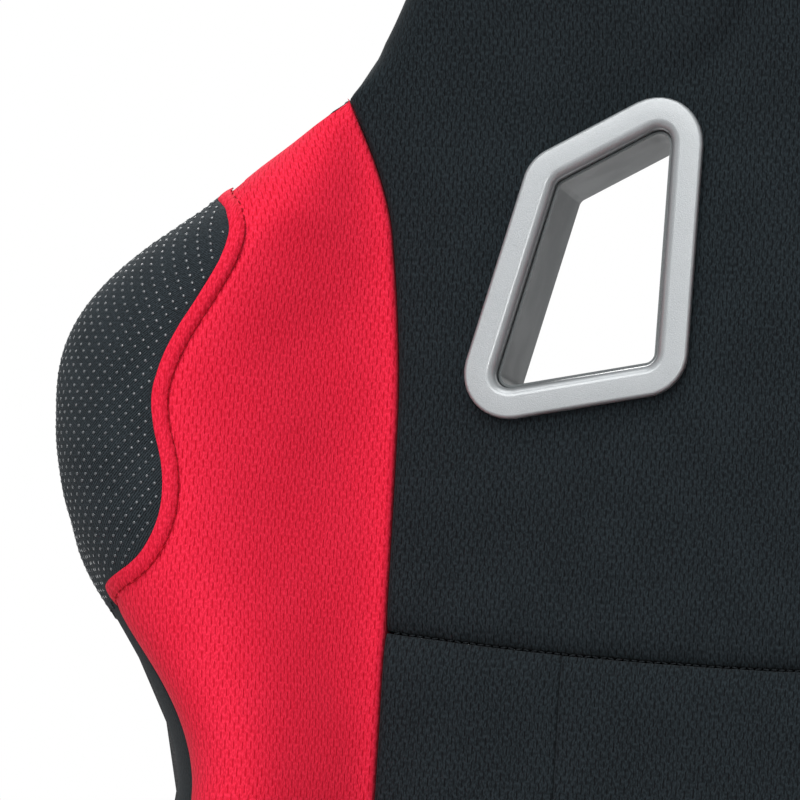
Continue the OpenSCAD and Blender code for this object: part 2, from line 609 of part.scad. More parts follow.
module lock_rack(s) {
    color([0.38, 0.39, 0.41]) side(s) difference() {
        translate([rack_x, pawl_y - rack_l / 2, rack_z]) cube([4, rack_l, rack_h]);
        for (i = [0:rack_teeth - 1])
            translate([rack_x - 1, pawl_y - rack_l / 2 + (i + 0.5) * rack_pitch - 3.5, rack_z + rack_h - 5])
                cube([6, 7, 6]);
    }
}

// ---- seat frame --------------------------------------------------------------------
base_tube_z = pad_floor - fit - wire_d - fit - base_tube_d / 2;
tube_front_y = -215;
tube_rear_y = 78;
bracket_front = -232;
module bracket_side() {
    difference() {
        union() {
            translate([pivot_y, pivot_z]) circle(d = recliner_d + 8, $fn = 96);
            polygon([[bracket_front, base_tube_z - 14], [-190, upper_top], [rail_l / 2 - 10, upper_top],
                [pivot_y + recliner_d / 2 + 2, pivot_z - 12], [pivot_y - 34, pivot_z + 20],
                [96, base_tube_z + 12], [bracket_front, base_tube_z + 12]]);
        }
        translate([pivot_y, pivot_z]) rod_hole();
        for (a = [0:60:300]) translate([pivot_y + 26 * cos(a), pivot_z + 26 * sin(a)])
            circle(d = 7.04, $fn = 32);
        for (y = [-140, -90, -40, 10]) translate([y, 62]) circle(r = 14, $fn = 48);
        for (y = [tube_front_y, tube_rear_y]) translate([y, base_tube_z]) circle(d = 8.4, $fn = 32);
    }
}
module seat_bracket(s) {
    color([0.14, 0.14, 0.15]) side(s) difference() {
        union() {
            plate(seat_plate_x, seat_plate_t) bracket_side();
            translate([foot_x, -190, upper_top])
                cube([max(seat_plate_x + 1, rail_x + 11) - foot_x, rail_l - 10, 3]);
        }
        for (y = rail_bolt_y) translate([rail_x, y, upper_top - 1]) cylinder(d = 8.6, h = 5, $fn = 48);
    }
}
module bracket_bolts() {
    color([0.62, 0.63, 0.65]) for (s = [-1, 1]) side(s) {
        for (y = rail_bolt_y) translate([rail_x, y, upper_top + 3]) {
            cylinder(d = 12.5, h = 5, $fn = 6);
            translate([0, 0, -15]) cylinder(d = 8, h = 15.5, $fn = 48);
            translate([0, 0, -3 - 2.5 - fit - 6]) cylinder(d = 14, h = 6, $fn = 6);
        }
        for (y = [tube_front_y, tube_rear_y])
            translate([seat_plate_x + seat_plate_t, y, base_tube_z]) rotate([0, 90, 0]) {
                cylinder(d = 13, h = 4, $fn = 6);
                translate([0, 0, -20]) cylinder(d = 8, h = 20.5, $fn = 48);
            }
    }
}
module cross_tube(y) {
    translate([-seat_plate_x, y, base_tube_z]) rotate([0, 90, 0]) difference() {
        cylinder(d = base_tube_d, h = 2 * seat_plate_x, $fn = 64);
        for (z = [-1, 2 * seat_plate_x - 18]) translate([0, 0, z]) cylinder(d = 8.4, h = 19, $fn = 48);
    }
}
module front_cross_tube() { color([0.14, 0.14, 0.15]) cross_tube(tube_front_y); }
module rear_cross_tube() { color([0.14, 0.14, 0.15]) cross_tube(tube_rear_y); }
spring_pitch = 18.5;
spring_loops = 15;
module cushion_springs() {
    lead = (tube_rear_y - tube_front_y - spring_loops * spring_pitch) / 2;
    color([0.45, 0.46, 0.48]) translate([0, tube_front_y + lead, pad_floor - fit - wire_d / 2])
        for (x = [-126, -42, 42, 126]) translate([x, 0, 0]) rotate(90) {
            zigzag(spring_loops, spring_pitch, 26, wire_d);
            for (start = [-lead - base_tube_d / 2, spring_loops * spring_pitch]) translate([start, 16, 0])
                rotate([0, 90, 0]) cylinder(d = wire_d, h = lead + base_tube_d / 2, $fn = 16);
        }
}

// ---- side covers -------------------------------------------------------------------
cover_round = 47;
side_front = -196;
side_low = 44;
side_high = 95;
cover_bosses = [[-183, 68], [-15, 78], [78, 66], [pivot_y, pivot_z - 33]];
module side_plan(inset) {
    translate([pivot_y, pivot_z]) circle(r = cover_round - inset, $fn = 96);
    polygon([[side_front + inset, side_low + inset], [rail_l / 2 - 6 - inset, side_low + inset],
        [pivot_y + cover_round - inset, pivot_z], [pivot_y - cover_round + inset, pivot_z],
        [pivot_y - cover_round + inset, 112 - inset], [99 - inset, side_high - inset],
        [side_front + inset, side_high - inset]]);
    translate([side_front, (side_low + side_high) / 2])
        circle(r = (side_high - side_low) / 2 - inset, $fn = 64);
}
module side_cover(s) {
    color([0.05, 0.05, 0.06]) side(s) difference() {
        union() {
            plate(side_inner_x, side_outer_x - 4 - side_inner_x) side_plan(0);
            plate(side_outer_x - 4.01, 2.01) side_plan(1);
            plate(side_outer_x - 2.01, 2.01) side_plan(3);
        }
        plate(side_inner_x - 1, side_outer_x - side_inner_x - 1.5) side_plan(2.5);
        translate([side_outer_x - 5, pivot_y, pivot_z]) rotate([0, 90, 0])
            cylinder(d = rod_d + 4, h = 8, $fn = 48);
    }
    color([0.05, 0.05, 0.06]) side(s) for (p = cover_bosses)
        plate(seat_plate_x + seat_plate_t + fit, side_outer_x - 2 - seat_plate_x - seat_plate_t - fit)
            translate(p) circle(d = 9, $fn = 48);
}

// ---- slide release -----------------------------------------------------------------
bar_x = rack_x + 2;
bar_y = -30;
bar_z = rail_z + 36;
bar_front = -322;
pawl_y = bar_y - 32;
module slide_release_bar() {
    color([0.16, 0.16, 0.17]) {
        translate([0, 0, bar_z])
            bent_tube([[bar_x, bar_y - 7], [bar_x, bar_front], [-bar_x, bar_front], [-bar_x, bar_y - 7]],
                10, 30);
        for (s = [-1, 1]) side(s) difference() {
            union() {
                translate([bar_x - 2, bar_y, bar_z]) rotate([0, 90, 0]) cylinder(d = 18, h = 4, $fn = 48);
                plate(bar_x - 2, 4) difference() {
                    polygon([[bar_y + 7, bar_z - 4], [bar_y - 8, bar_z + 2], [pawl_y - 12, bar_z],
                        [pawl_y - 12, pawl_foot], [pawl_y + 10, pawl_foot], [pawl_y + 14, pawl_foot + 10]]);
                    for (i = [-1:0]) translate([pawl_y + (i + 0.5) * rack_pitch - 2.5, pawl_foot - 1])
                        square([5, 6]);
                }
            }
            translate([bar_x - 8, bar_y, bar_z]) rotate([0, 90, 0]) cylinder(d = 8.1, h = 16, $fn = 48);
        }
    }
}
module slide_bar_pivots() {
    color([0.62, 0.63, 0.65]) for (s = [-1, 1]) side(s) {
        translate([bar_x - 4, bar_y, bar_z]) rotate([0, 90, 0])
            cylinder(d = 8, h = foot_x - bar_x + 8, $fn = 48);
        translate([foot_x, bar_y - 9, upper_top + 3]) cube([4, 18, bar_z - upper_top + 4]);
    }
}

mount_feet();
lower_rail(-1);  // lower_rail_left
lower_rail(1);  // lower_rail_right
lock_rack(-1);  // lock_rack_left
lock_rack(1);  // lock_rack_right
rail_balls(-1);  // rail_balls_left
rail_balls(1);  // rail_balls_right
upper_rail(-1);  // upper_rail_left
upper_rail(1);  // upper_rail_right
seat_bracket(-1);  // seat_bracket_left
seat_bracket(1);  // seat_bracket_right
bracket_bolts();
front_cross_tube();
rear_cross_tube();
cushion_springs();
recliner_housing(-1);  // recliner_housing_left
recliner_housing(1);  // recliner_housing_right
side_cover(-1);  // side_cover_left
side_cover(1);  // side_cover_right
cushion_seat_pad();
cushion_thigh_pad();
cushion_bolster(-1);  // cushion_bolster_left
cushion_bolster(1);  // cushion_bolster_right
cushion_skirt();
slide_release_bar();
slide_bar_pivots();
release_rod();
recliner_lever(-1);  // recliner_lever_left
recliner_lever(1);  // recliner_lever_right
recliner_gear(-1);  // recliner_gear_left
recliner_gear(1);  // recliner_gear_right
back_bracket(-1);  // back_bracket_left
back_bracket(1);  // back_bracket_right
back_hoop();
back_cross_members();
back_springs();
rear_cover();
upper_back_pad();
head_pad();
lumbar_pad();
lumbar_side_pad(-1);  // lumbar_side_pad_left
lumbar_side_pad(1);  // lumbar_side_pad_right
back_wing(-1);  // back_wing_left
back_wing(1);  // back_wing_right
shoulder_patch(-1);  // shoulder_patch_left
shoulder_patch(1);  // shoulder_patch_right
front_bezel(-1);  // front_bezel_left
front_bezel(1);  // front_bezel_right
rear_bezel(-1);  // rear_bezel_left
rear_bezel(1);  // rear_bezel_right
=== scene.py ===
# %% [markdown]
# # A reclining racing seat
#
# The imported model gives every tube, rail and plate in its exact place. This lesson dresses
# it: knit covers over the padding, wear patches with raised dots, silver harness bezels and
# grained plastic. Everything is in metres, in the model's own frame; left and right in the
# names are those of someone who faces the seat.

# %% Load the frame
import json
import math

import bmesh
import bpy
import numpy as np
from mathutils import Matrix, Vector


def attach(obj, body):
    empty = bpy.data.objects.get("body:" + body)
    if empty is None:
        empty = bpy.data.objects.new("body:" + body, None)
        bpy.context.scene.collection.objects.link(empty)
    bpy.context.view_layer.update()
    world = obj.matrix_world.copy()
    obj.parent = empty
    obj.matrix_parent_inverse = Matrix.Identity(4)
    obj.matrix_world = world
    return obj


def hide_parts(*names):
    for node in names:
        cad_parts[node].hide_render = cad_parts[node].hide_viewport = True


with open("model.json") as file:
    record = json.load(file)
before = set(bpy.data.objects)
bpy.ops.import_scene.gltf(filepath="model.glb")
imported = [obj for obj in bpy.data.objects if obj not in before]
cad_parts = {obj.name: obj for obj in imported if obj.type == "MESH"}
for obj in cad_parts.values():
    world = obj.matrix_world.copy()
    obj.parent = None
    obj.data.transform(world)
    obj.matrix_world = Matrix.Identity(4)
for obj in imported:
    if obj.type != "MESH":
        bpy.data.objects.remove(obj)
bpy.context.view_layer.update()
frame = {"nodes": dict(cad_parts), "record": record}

# %% [markdown]
# ## Camera, light and floor
#
# The camera stands two metres off, a little to the right of the seat's middle as seen from
# the front, and above its shoulder, with a long lens, so that parallel seams stay nearly
# parallel. A seat cover is dark and matte, so it is lit by large soft lamps: a main one high
# in front, one above and one behind, and a small weak one near the camera that reaches into
# the seams. They show the weave without hot spots.

# %% Camera
target = Vector((-0.1460, 0.2125, 0.5941))
stand = Vector((0.2298, -1.7209, 0.9414))
camera = bpy.data.objects.new("camera", bpy.data.cameras.new("camera"))
camera.data.lens = 243.2
camera.data.sensor_width = 36
camera.location = stand
camera.rotation_mode = "QUATERNION"
camera.rotation_quaternion = (target - stand).to_track_quat("-Z", "Y")
bpy.context.collection.objects.link(camera)
bpy.context.scene.camera = camera
bpy.context.scene.view_settings.view_transform = "Standard"
print("camera to target:", round((target - stand).length, 3), "m")


# %% Lamps
def softbox(name, place, aim, size, power):
    """A square area lamp that looks at a point."""
    lamp = bpy.data.lights.new(name, "AREA")
    lamp.size = size
    lamp.energy = power
    holder = bpy.data.objects.new(name, lamp)
    holder.location = place
    holder.rotation_mode = "QUATERNION"
    holder.rotation_quaternion = (Vector(aim) - Vector(place)).to_track_quat("-Z", "Y")
    bpy.context.collection.objects.link(holder)


SEAT_MIDDLE = (0, 0.1, 0.5)
softbox("front_softbox", (-0.5, -2.4, 2.7), SEAT_MIDDLE, 1.5, 56)
softbox("near_softbox", (0.6, -2.7, 1.3), SEAT_MIDDLE, 0.4, 16)
softbox("top_softbox", (-0.2, -0.3, 2.9), SEAT_MIDDLE, 1.4, 32)
softbox("rear_softbox", (-0.8, 2.6, 1.8), SEAT_MIDDLE, 1.6, 34)


# %% [markdown]
# ## Writing materials as sums
#
# A woven pattern is arithmetic on the place on the cloth. Placing dozens of Math nodes by
# hand hides that, so one small class wraps a socket, and Python's own operators add the
# nodes. Every other node comes from one method, with its settings first.

# %% A socket that does sums
class Value:
    """A socket of a material's node tree that does arithmetic."""

    def __init__(self, finish, socket):
        self.finish = finish
        self.socket = socket

    def math(self, operation, *others):
        """A sum of this value and others, as a Math node."""
        inputs = dict(enumerate([self, *others]))
        return self.finish.node("ShaderNodeMath", {"operation": operation}, inputs)

    def __add__(self, other): return self.math("ADD", other)
    def __sub__(self, other): return self.math("SUBTRACT", other)
    def __mul__(self, other): return self.math("MULTIPLY", other)
    def __truediv__(self, other): return self.math("DIVIDE", other)
    def __abs__(self): return self.math("ABSOLUTE")
    def fraction(self): return self.math("FRACT")
    def whole(self): return self.math("FLOOR")

    def step(self, low, high, low_value=0.0, high_value=1.0):
        """Goes smoothly from low_value at low to high_value at high."""
        inputs = {"Value": self, "From Min": low, "From Max": high,
                  "To Min": low_value, "To Max": high_value}
        return self.finish.node("ShaderNodeMapRange", {"interpolation_type": "SMOOTHSTEP"}, inputs)


class Finish:
    """A material that is being written."""

    def __init__(self, name, **sockets):
        self.material = bpy.data.materials.new(name)
        self.material.use_nodes = True
        self.tree = self.material.node_tree
        self.shader = self.tree.nodes["Principled BSDF"]
        self.fill(self.shader, {key.replace("_", " "): value for key, value in sockets.items()})

    def fill(self, node, inputs):
        """Links or sets the inputs of a node."""
        for key, value in inputs.items():
            if isinstance(value, Value):
                self.tree.links.new(value.socket, node.inputs[key])
            else:
                node.inputs[key].default_value = value

    def node(self, kind, settings, inputs, output=0):
        """Adds a node with its settings and inputs, and gives one of its outputs."""
        made = self.tree.nodes.new(kind)
        made.location = (-200 * len(self.tree.nodes), 0)
        for key, value in settings.items():
            setattr(made, key, value)
        self.fill(made, inputs)
        return Value(self, made.outputs[output])

    def colours(self, factor, dark, light):
        """Mixes two colours by a factor."""
        inputs = {"Factor": factor, 6: dark, 7: light}     # 6 and 7 are the node's colours A and B
        return self.node("ShaderNodeMix", {"data_type": "RGBA"}, inputs, output=2)

    def noise(self, place, scale, detail=2.0):
        """Soft noise from 0 to 1."""
        inputs = {"Vector": place, "Scale": scale, "Detail": detail}
        return self.node("ShaderNodeTexNoise", {}, inputs)

    def bump(self, height, distance, strength):
        """A normal bent by a height; distance is the height's full size in metres."""
        inputs = {"Height": height, "Distance": distance, "Strength": strength}
        return self.node("ShaderNodeBump", {}, inputs)

    def place(self):
        """The point on the object, in metres."""
        return self.node("ShaderNodeTexCoord", {}, {}, output="Object")

    def cloth(self):
        """The places across and along the cloth's wales in mm, and both as a vector in metres."""
        across_along = self.node("ShaderNodeUVMap", {"uv_map": "cloth"}, {})
        split = self.node("ShaderNodeSeparateXYZ", {}, {"Vector": across_along})
        along = Value(self, split.socket.node.outputs[1])
        return split * 1000.0, along * 1000.0, across_along


def srgb(red, green, blue):
    """A colour picked on screen, 0 to 255, as the linear values that Blender wants."""
    screen = (red / 255, green / 255, blue / 255)
    linear = [c / 12.92 if c <= 0.04045 else ((c + 0.055) / 1.055) ** 2.4 for c in screen]
    return (*linear, 1.0)


# %% [markdown]
# ## Floor and background
#
# The floor is pale and keeps the seat's shadow near it. Further out it fades to the same
# white as the background, which only camera, glossy and transmitted rays see, so that it
# adds no light to the seat.

# %% World
world = bpy.data.worlds.new("studio")
world.use_nodes = True
bpy.context.scene.world = world
nodes, links = world.node_tree.nodes, world.node_tree.links
paths = nodes.new("ShaderNodeLightPath")
seen = nodes.new("ShaderNodeMath")
seen.operation = "MAXIMUM"
links.new(paths.outputs["Is Camera Ray"], seen.inputs[0])
links.new(paths.outputs["Is Transmission Ray"], seen.inputs[1])
seen_or_glossy = nodes.new("ShaderNodeMath")
seen_or_glossy.operation = "MAXIMUM"
links.new(seen.outputs[0], seen_or_glossy.inputs[0])
links.new(paths.outputs["Is Glossy Ray"], seen_or_glossy.inputs[1])
room = nodes["Background"]
room.inputs["Color"].default_value = (0.93, 0.96, 1.0, 1)
room.inputs["Strength"].default_value = 0.22
white = nodes.new("ShaderNodeBackground")
white.inputs["Color"].default_value = (1, 1, 1, 1)
either = nodes.new("ShaderNodeMixShader")
links.new(seen_or_glossy.outputs[0], either.inputs[0])
links.new(room.outputs[0], either.inputs[1])
links.new(white.outputs[0], either.inputs[2])
links.new(either.outputs[0], nodes["World Output"].inputs["Surface"])

# %% Floor
floor_paint = Finish("floor_paint", Base_Color=(0.82, 0.82, 0.82, 1), Roughness=0.9)
reach = floor_paint.node("ShaderNodeVectorMath", {"operation": "LENGTH"}, {0: floor_paint.place()},
                         output="Value")
far_off = reach.step(0.75, 1.9)
glow = floor_paint.node("ShaderNodeEmission", {}, {"Color": (1, 1, 1, 1)}, output="Emission")
looked_at = floor_paint.node("ShaderNodeLightPath", {}, {}, output="Is Camera Ray")
faded = floor_paint.node("ShaderNodeMixShader", {}, {0: far_off * looked_at, 2: glow}, output="Shader")
floor_paint.tree.links.new(floor_paint.shader.outputs[0], faded.socket.node.inputs[1])
floor_paint.tree.links.new(faded.socket, floor_paint.tree.nodes["Material Output"].inputs["Surface"])
bpy.ops.mesh.primitive_circle_add(vertices=96, radius=7, fill_type="NGON", location=(0, 0, -0.0005))
floor = bpy.context.object
floor.name = "floor"
floor.data.materials.append(floor_paint.material)

# %% [markdown]
# ## Knit
#
# The cover is a fine knit with a dashed rib: upright slits, 3 mm long, in columns 1.6 mm
# apart, and every second column is half a step higher. The pattern has to follow the cloth
# round each pad, so it reads a UV map named cloth, which each pad fills with real lengths.

# %% The knit finish
RIB = 1.6            # mm between columns of slits
STEP = 6.4           # mm from one slit to the next in a column


def knit(name, ground, slit_tone_and_shade, bright, depth, dashes, **sockets):
    """A dashed rib knit in three tones of one colour, its slits' tone partly the knit's pattern and partly
    painted shade; dashes is how plain its slits show.
    """
    cover = Finish(name, **sockets)
    across, along, cloth = cover.cloth()
    drift = cover.noise(cloth, 230.0) - 0.5
    column = (across + drift * 0.22) / RIB
    row = (along + drift * 2.2) / STEP + (column.whole() * 0.5).fraction()
    beside = abs(column.fraction() - 0.5)
    up = row.fraction()
    slits = beside.step(0.24, 0.06) * up.step(0.0, 0.1) * up.step(0.6, 0.46)
    strands = cover.node("ShaderNodeMapping", {}, {"Vector": cloth, "Scale": (1.0, 0.42, 1.0)})
    grain = cover.noise(strands, 1700.0, 1.0)
    fuzz = cover.noise(cloth, 650.0, 2.0)
    broken = slits * (fuzz.step(0.3, 0.6) * 0.3 + 0.7) * dashes
    wear = cover.noise(cloth, 42.0, 3.0)
    tone = cover.colours(grain.step(0.36, 0.68) * 0.88 + wear.step(0.35, 0.68) * 0.12, ground, bright)
    cover.fill(cover.shader, {
        # The slits' colour is partly the knit's own pattern and partly painted shade inside each slit.
        "Base Color": cover.colours(broken, tone, slit_tone_and_shade),
        "Normal": cover.bump(grain * 0.3 - broken * depth, 0.0003, 0.6),
    })
    return cover.material


# Each knit's second colour is its slits' tone: partly pattern, partly painted shade.
black_knit = knit("black_knit", srgb(16, 22, 25), srgb(3, 5, 7), srgb(36, 44, 48), 0.7, 0.9,
                  Roughness=0.9, Sheen_Weight=0.02, Specular_IOR_Level=0.12)
red_knit = knit("red_knit", srgb(216, 26, 52), srgb(178, 3, 27), srgb(240, 46, 76), 0.5, 0.9,
                Roughness=0.85, Sheen_Weight=0.02, Specular_IOR_Level=0.12)
red_welt = knit("red_welt", srgb(208, 22, 48), srgb(176, 3, 27), srgb(238, 44, 74), 0.4, 0.6,
                Roughness=0.85, Sheen_Weight=0.02, Specular_IOR_Level=0.12)

# %% [markdown]
# ## Dotted fabric, thread and the other finishes
#
# The wear patch is a tight dark weave that carries raised, shiny dots. The dots are real
# domes, because they catch the light one by one, so they need only a plain glossy rubber.
# Sewing thread is matte, with fine slanted strands.

# %% Cloth and thread
weave = Finish("dotted_fabric", Roughness=0.85, Sheen_Weight=0.02, Specular_IOR_Level=0.12)
across, along, cloth = weave.cloth()
drift = weave.noise(cloth, 300.0) - 0.5
twill = ((across + along * 0.9) / 1.05 + drift * 0.5).fraction()
ribs = abs(twill - 0.5).step(0.5, 0.1)
fleck = weave.noise(cloth, 1500.0, 1.0)
dusty = weave.noise(cloth, 60.0, 3.0).step(0.3, 0.7)
weave.fill(weave.shader, {
    "Base Color": weave.colours(ribs * 0.5 + fleck.step(0.38, 0.64) * 0.4 + dusty * 0.1,
                                srgb(1, 2, 3), srgb(54, 62, 67)),
    "Normal": weave.bump(ribs + fleck * 0.6, 0.0003, 0.7),
})
dotted_fabric = weave.material

rubber = Finish("dot_rubber", Specular_IOR_Level=0.5, Coat_Weight=0.7, Coat_Roughness=0.1)
smudge = rubber.noise(rubber.place(), 300.0)
rubber.fill(rubber.shader, {
    "Base Color": rubber.colours(smudge, srgb(40, 46, 50), srgb(72, 78, 82)),
    "Roughness": smudge.step(0.3, 0.7, 0.16, 0.3),
})
dot_rubber = rubber.material


def thread(name, dark, light):
    """Twisted sewing thread: fine slanted strands."""
    yarn = Finish(name, Roughness=0.8, Specular_IOR_Level=0.1)
    strands = yarn.node("ShaderNodeTexNoise", {}, {"Vector": yarn.place(), "Scale": 2500.0, "Detail": 1.0})
    yarn.fill(yarn.shader, {
        "Base Color": yarn.colours(strands.step(0.35, 0.65), dark, light),
        "Normal": yarn.bump(strands, 0.0001, 0.5),
    })
    return yarn.material


red_thread = thread("red_thread", srgb(128, 4, 20), srgb(170, 10, 34))
black_thread = thread("black_thread", srgb(12, 15, 17), srgb(32, 37, 40))

# %% [markdown]
# ## Paint, plastic and steel
#
# Satin silver paint has a fine metallic grain. Inside the sleeve of a slot it is a darker,
# duller copy: painted shade. The covers are moulded plastic with a leather grain, polished a
# little where hands and shoes rub. The frame is powder coated, which leaves a soft orange
# peel, and the rails are zinc plated, with faint draw marks.

# %% Rigid finishes
def silver(name, dark, light, **sockets):
    """Satin silver paint: fine flakes, and soft clouds where it lies thicker."""
    paint = Finish(name, **sockets)
    flakes = paint.noise(paint.place(), 2600.0, 1.0)
    cloud = paint.noise(paint.place(), 60.0, 2.0)
    paint.fill(paint.shader, {
        "Base Color": paint.colours(flakes * 0.6 + cloud * 0.4, dark, light),
        "Roughness": cloud.step(0.3, 0.7, 0.34, 0.4),
        "Normal": paint.bump(flakes, 0.0001, 0.6),
    })
    return paint.material


silver_paint = silver("silver_paint", srgb(121, 125, 127), srgb(153, 157, 159),
                      Metallic=0.35, Specular_IOR_Level=0.5, Coat_Weight=0.5, Coat_Roughness=0.16)
# The sleeve's darker, duller copy of the silver paint is painted shade, for the shade deep inside the slot.
sleeve_painted_shade = silver("sleeve_painted_shade", srgb(84, 88, 89), srgb(106, 110, 111),
                      Metallic=0.1, Specular_IOR_Level=0.2)

moulded = Finish("black_plastic", Specular_IOR_Level=0.45)
cells = moulded.node("ShaderNodeTexVoronoi", {"feature": "DISTANCE_TO_EDGE"},
                     {"Vector": moulded.place(), "Scale": 620.0})
patchy = moulded.noise(moulded.place(), 14.0, 3.0)
moulded.fill(moulded.shader, {
    "Base Color": moulded.colours(patchy, srgb(24, 26, 28), srgb(36, 38, 41)),
    "Roughness": patchy.step(0.3, 0.7, 0.42, 0.56),
    "Normal": moulded.bump(cells.step(0.0, 0.25), 0.0002, 0.45),
})
black_plastic = moulded.material

coated = Finish("frame_paint", Specular_IOR_Level=0.5)
peel = coated.noise(coated.place(), 700.0, 1.0)
dulled = coated.noise(coated.place(), 22.0, 3.0)
coated.fill(coated.shader, {
    "Base Color": coated.colours(dulled, srgb(22, 22, 24), srgb(36, 36, 39)),
    "Roughness": dulled.step(0.3, 0.7, 0.36, 0.5),
    "Normal": coated.bump(peel, 0.0002, 0.35),
})
frame_paint = coated.material

plated = Finish("zinc_steel", Metallic=1.0)
drawn = plated.node("ShaderNodeMapping", {}, {"Vector": plated.place(), "Scale": (900.0, 12.0, 900.0)})
marks = plated.noise(drawn, 1.0, 2.0)
spangle = plated.node("ShaderNodeTexVoronoi", {}, {"Vector": plated.place(), "Scale": 220.0})
plated.fill(plated.shader, {
    "Base Color": plated.colours(spangle * 0.6 + marks * 0.4, srgb(146, 149, 153), srgb(188, 190, 193)),
    "Roughness": marks.step(0.3, 0.7, 0.3, 0.46),
    "Normal": plated.bump(marks, 0.0001, 0.3),
})
zinc_steel = plated.material

finishes = {
    "black_knit": black_knit, "red_knit": red_knit, "dotted_fabric": dotted_fabric,
    "silver_paint": silver_paint, "black_plastic": black_plastic,
    "frame_paint": frame_paint, "zinc_steel": zinc_steel,
}
print("finishes:", ", ".join(finishes))

# %% [markdown]
# ## Dressing the carried-over nodes
#
# Rails, brackets, tubes and springs have their right shape already, so each keeps its mesh
# and only gets its finish, by the slot that the record gives it.

# %% Materials of the model's own nodes
slot_of = {part["node"]: part["material_slot"] for part in frame["record"]["subparts"]}
for name, cad in frame["nodes"].items():
    cad.data.materials.clear()
    cad.data.materials.append(finishes[slot_of[name]])
print(len(slot_of), "nodes have a finish")

# %% [markdown]
# ## The backrest's lines
#
# A pad is cut along a few templates: the outline, the seams and how far each line stands
# forward. Here they are smooth curves through stations of place, value and slope, in
# millimetres, in the backrest's own frame: x across, n forward, v up its length. OUTLINE is
# half the width of the rear cover, SEAM half the width between the wings, MIDDLE how far the
# middle stands forward, RISE how much further the wing's crest does, and STRIP the width of
# the outer side as seen from the front.

# %% Curves through stations
LEAN = math.radians(15)
HINGE_Y, HINGE_Z = 160, 153          # mm, where the backrest's own frame starts


def on_back(x, n, v):
    """Places across, forward and up the backrest, in mm, as points in metres."""
    x, n, v = np.broadcast_arrays(x, n, v)
    y = HINGE_Y - n * math.cos(LEAN) + v * math.sin(LEAN)
    z = HINGE_Z + n * math.sin(LEAN) + v * math.cos(LEAN)
    return np.stack([x, y, z], -1) / 1000


def curve(stations, at):
    """A smooth curve through stations of (place, value, slope)."""
    rows = np.array(stations, float)
    at = np.asarray(at, float)
    first = np.clip(np.searchsorted(rows[:, 0], at, side="right") - 1, 0, len(rows) - 2)
    a, b = rows[first], rows[first + 1]
    length = b[..., 0] - a[..., 0]
    t = np.clip((at - a[..., 0]) / length, 0, 1)
    ends = (2 * t**3 - 3 * t**2 + 1) * a[..., 1] + (3 * t**2 - 2 * t**3) * b[..., 1]
    return ends + length * ((t**3 - 2 * t**2 + t) * a[..., 2] + (t**3 - t**2) * b[..., 2])


# %% The templates of the backrest
OUTLINE = [(45, 212, .2), (78, 232, .85), (112, 252, .4), (165, 263, 0), (292, 235, 0), (345, 254.2, .62),
           (368, 268.5, .55), (395, 277, .12), (432, 278, 0), (470, 268.6, -.68), (505, 233.8, -1.22),
           (556, 183, -.82), (600, 158.6, -.42), (690, 137, -.12)]
SEAM = [(-10, 156.6, 0), (45, 156.6, 0), (292, 152.6, 0), (432, 152.6, 0), (503, 158, .13),
        (556, 177.5, .5)]
MIDDLE = [(-10, 40, .1), (150, 54, 0), (300, 44, -.09), (425, 36, 0), (530, 36, 0), (600, 44, .24),
          (670, 53, .02), (745, 30, -.6)]
RISE = [(45, 14, .4), (100, 46, .5), (165, 58, 0), (292, 46, 0), (432, 60, 0), (505, 42, -.72),
        (556, -5.5, -1)]
STRIP = [(45, 6, .06), (165, 14, .04), (292, 18.5, 0), (345, 13.8, -.09), (374, 12.8, -.05),
         (403, 6.9, -.2), (425, 3.2, -.03), (455, 3.1, 0), (487, 3.5, .03), (507, 4.3, 0),
         (516, 1.6, 0), (530, 1.9, .1), (556, 5.8, .2)]
TOP, CORNER, HEAD = 745, 55, 137     # mm: the top, its corners' radius, and half its width there
WING_FOOT, WING_TOP = 45, 556        # mm up the backrest
SHOULDER = 432
LIP = 13.2                           # mm forward to the lip of the rear cover
PAD_BACK = 12.6                      # mm forward to the underside of the thin pads
SEAM_GAP = .3                        # mm between a panel's edge and the seam's line
SIDES = (("left", -1), ("right", 1))


def half_width(v):
    """Half the width of the rear cover's outline."""
    v = np.asarray(v, float)
    up = np.clip((v - TOP + CORNER) / CORNER, 0, 1)
    return np.where(v > TOP - CORNER, HEAD - CORNER + CORNER * np.sqrt(1 - up**2), curve(OUTLINE, v))


def panel_edge(v):
    """Half the width of the black middle: to the wing's seam, and above it to the outline."""
    v = np.asarray(v, float)
    step_in = 5.5 - 4.0 * np.clip((v - WING_TOP) / 22, 0, 1)
    beside_wing = np.minimum(curve(SEAM, v), half_width(v) - 5)
    return np.where(v < WING_TOP, beside_wing, half_width(v) - step_in)


def roll(distance, radius, depth):
    """How far a sewn edge is drawn in, at a distance from the seam."""
    near = np.clip(1 - distance / radius, 0, 1)
    return depth * (1 - np.sqrt(1 - near**2))


def uneven(a, b, length, amount):
    """Soft hills of foam under cloth, the same at each run."""
    w = 2 * math.pi / length
    return amount * (np.sin(w * (a + .3 * b) + 1.3) * np.sin(w * .83 * (b - .22 * a) + .4)
                     + .5 * np.sin(w * 1.9 * (a * .8 - b * .6) + 2.1))


print("width at the shoulder:", round(2 * float(half_width(SHOULDER))), "mm")

# %% [markdown]
# ## Pads as closed slabs
#
# Each cover panel is a grid of points over its front, a second grid behind it, and walls
# between the two along every open edge, also round the harness slots. Lines of the grid lie
# close together at sewn edges, where the cloth turns sharply into the seam.

# %% A closed slab from two grids
def new_piece(name, points, faces, finish, turn_out=True):
    """A smooth mesh of one material; turn_out lets Blender turn all its faces outwards."""
    mesh = bpy.data.meshes.new(name)
    mesh.from_pydata(points, [], faces)
    if turn_out:
        edit = bmesh.new()
        edit.from_mesh(mesh)
        bmesh.ops.recalc_face_normals(edit, faces=edit.faces)
        edit.to_mesh(mesh)
        edit.free()
    mesh.polygons.foreach_set("use_smooth", [True] * len(mesh.polygons))
    mesh.materials.append(finish)
    piece = bpy.data.objects.new(name, mesh)
    bpy.context.collection.objects.link(piece)
    return piece


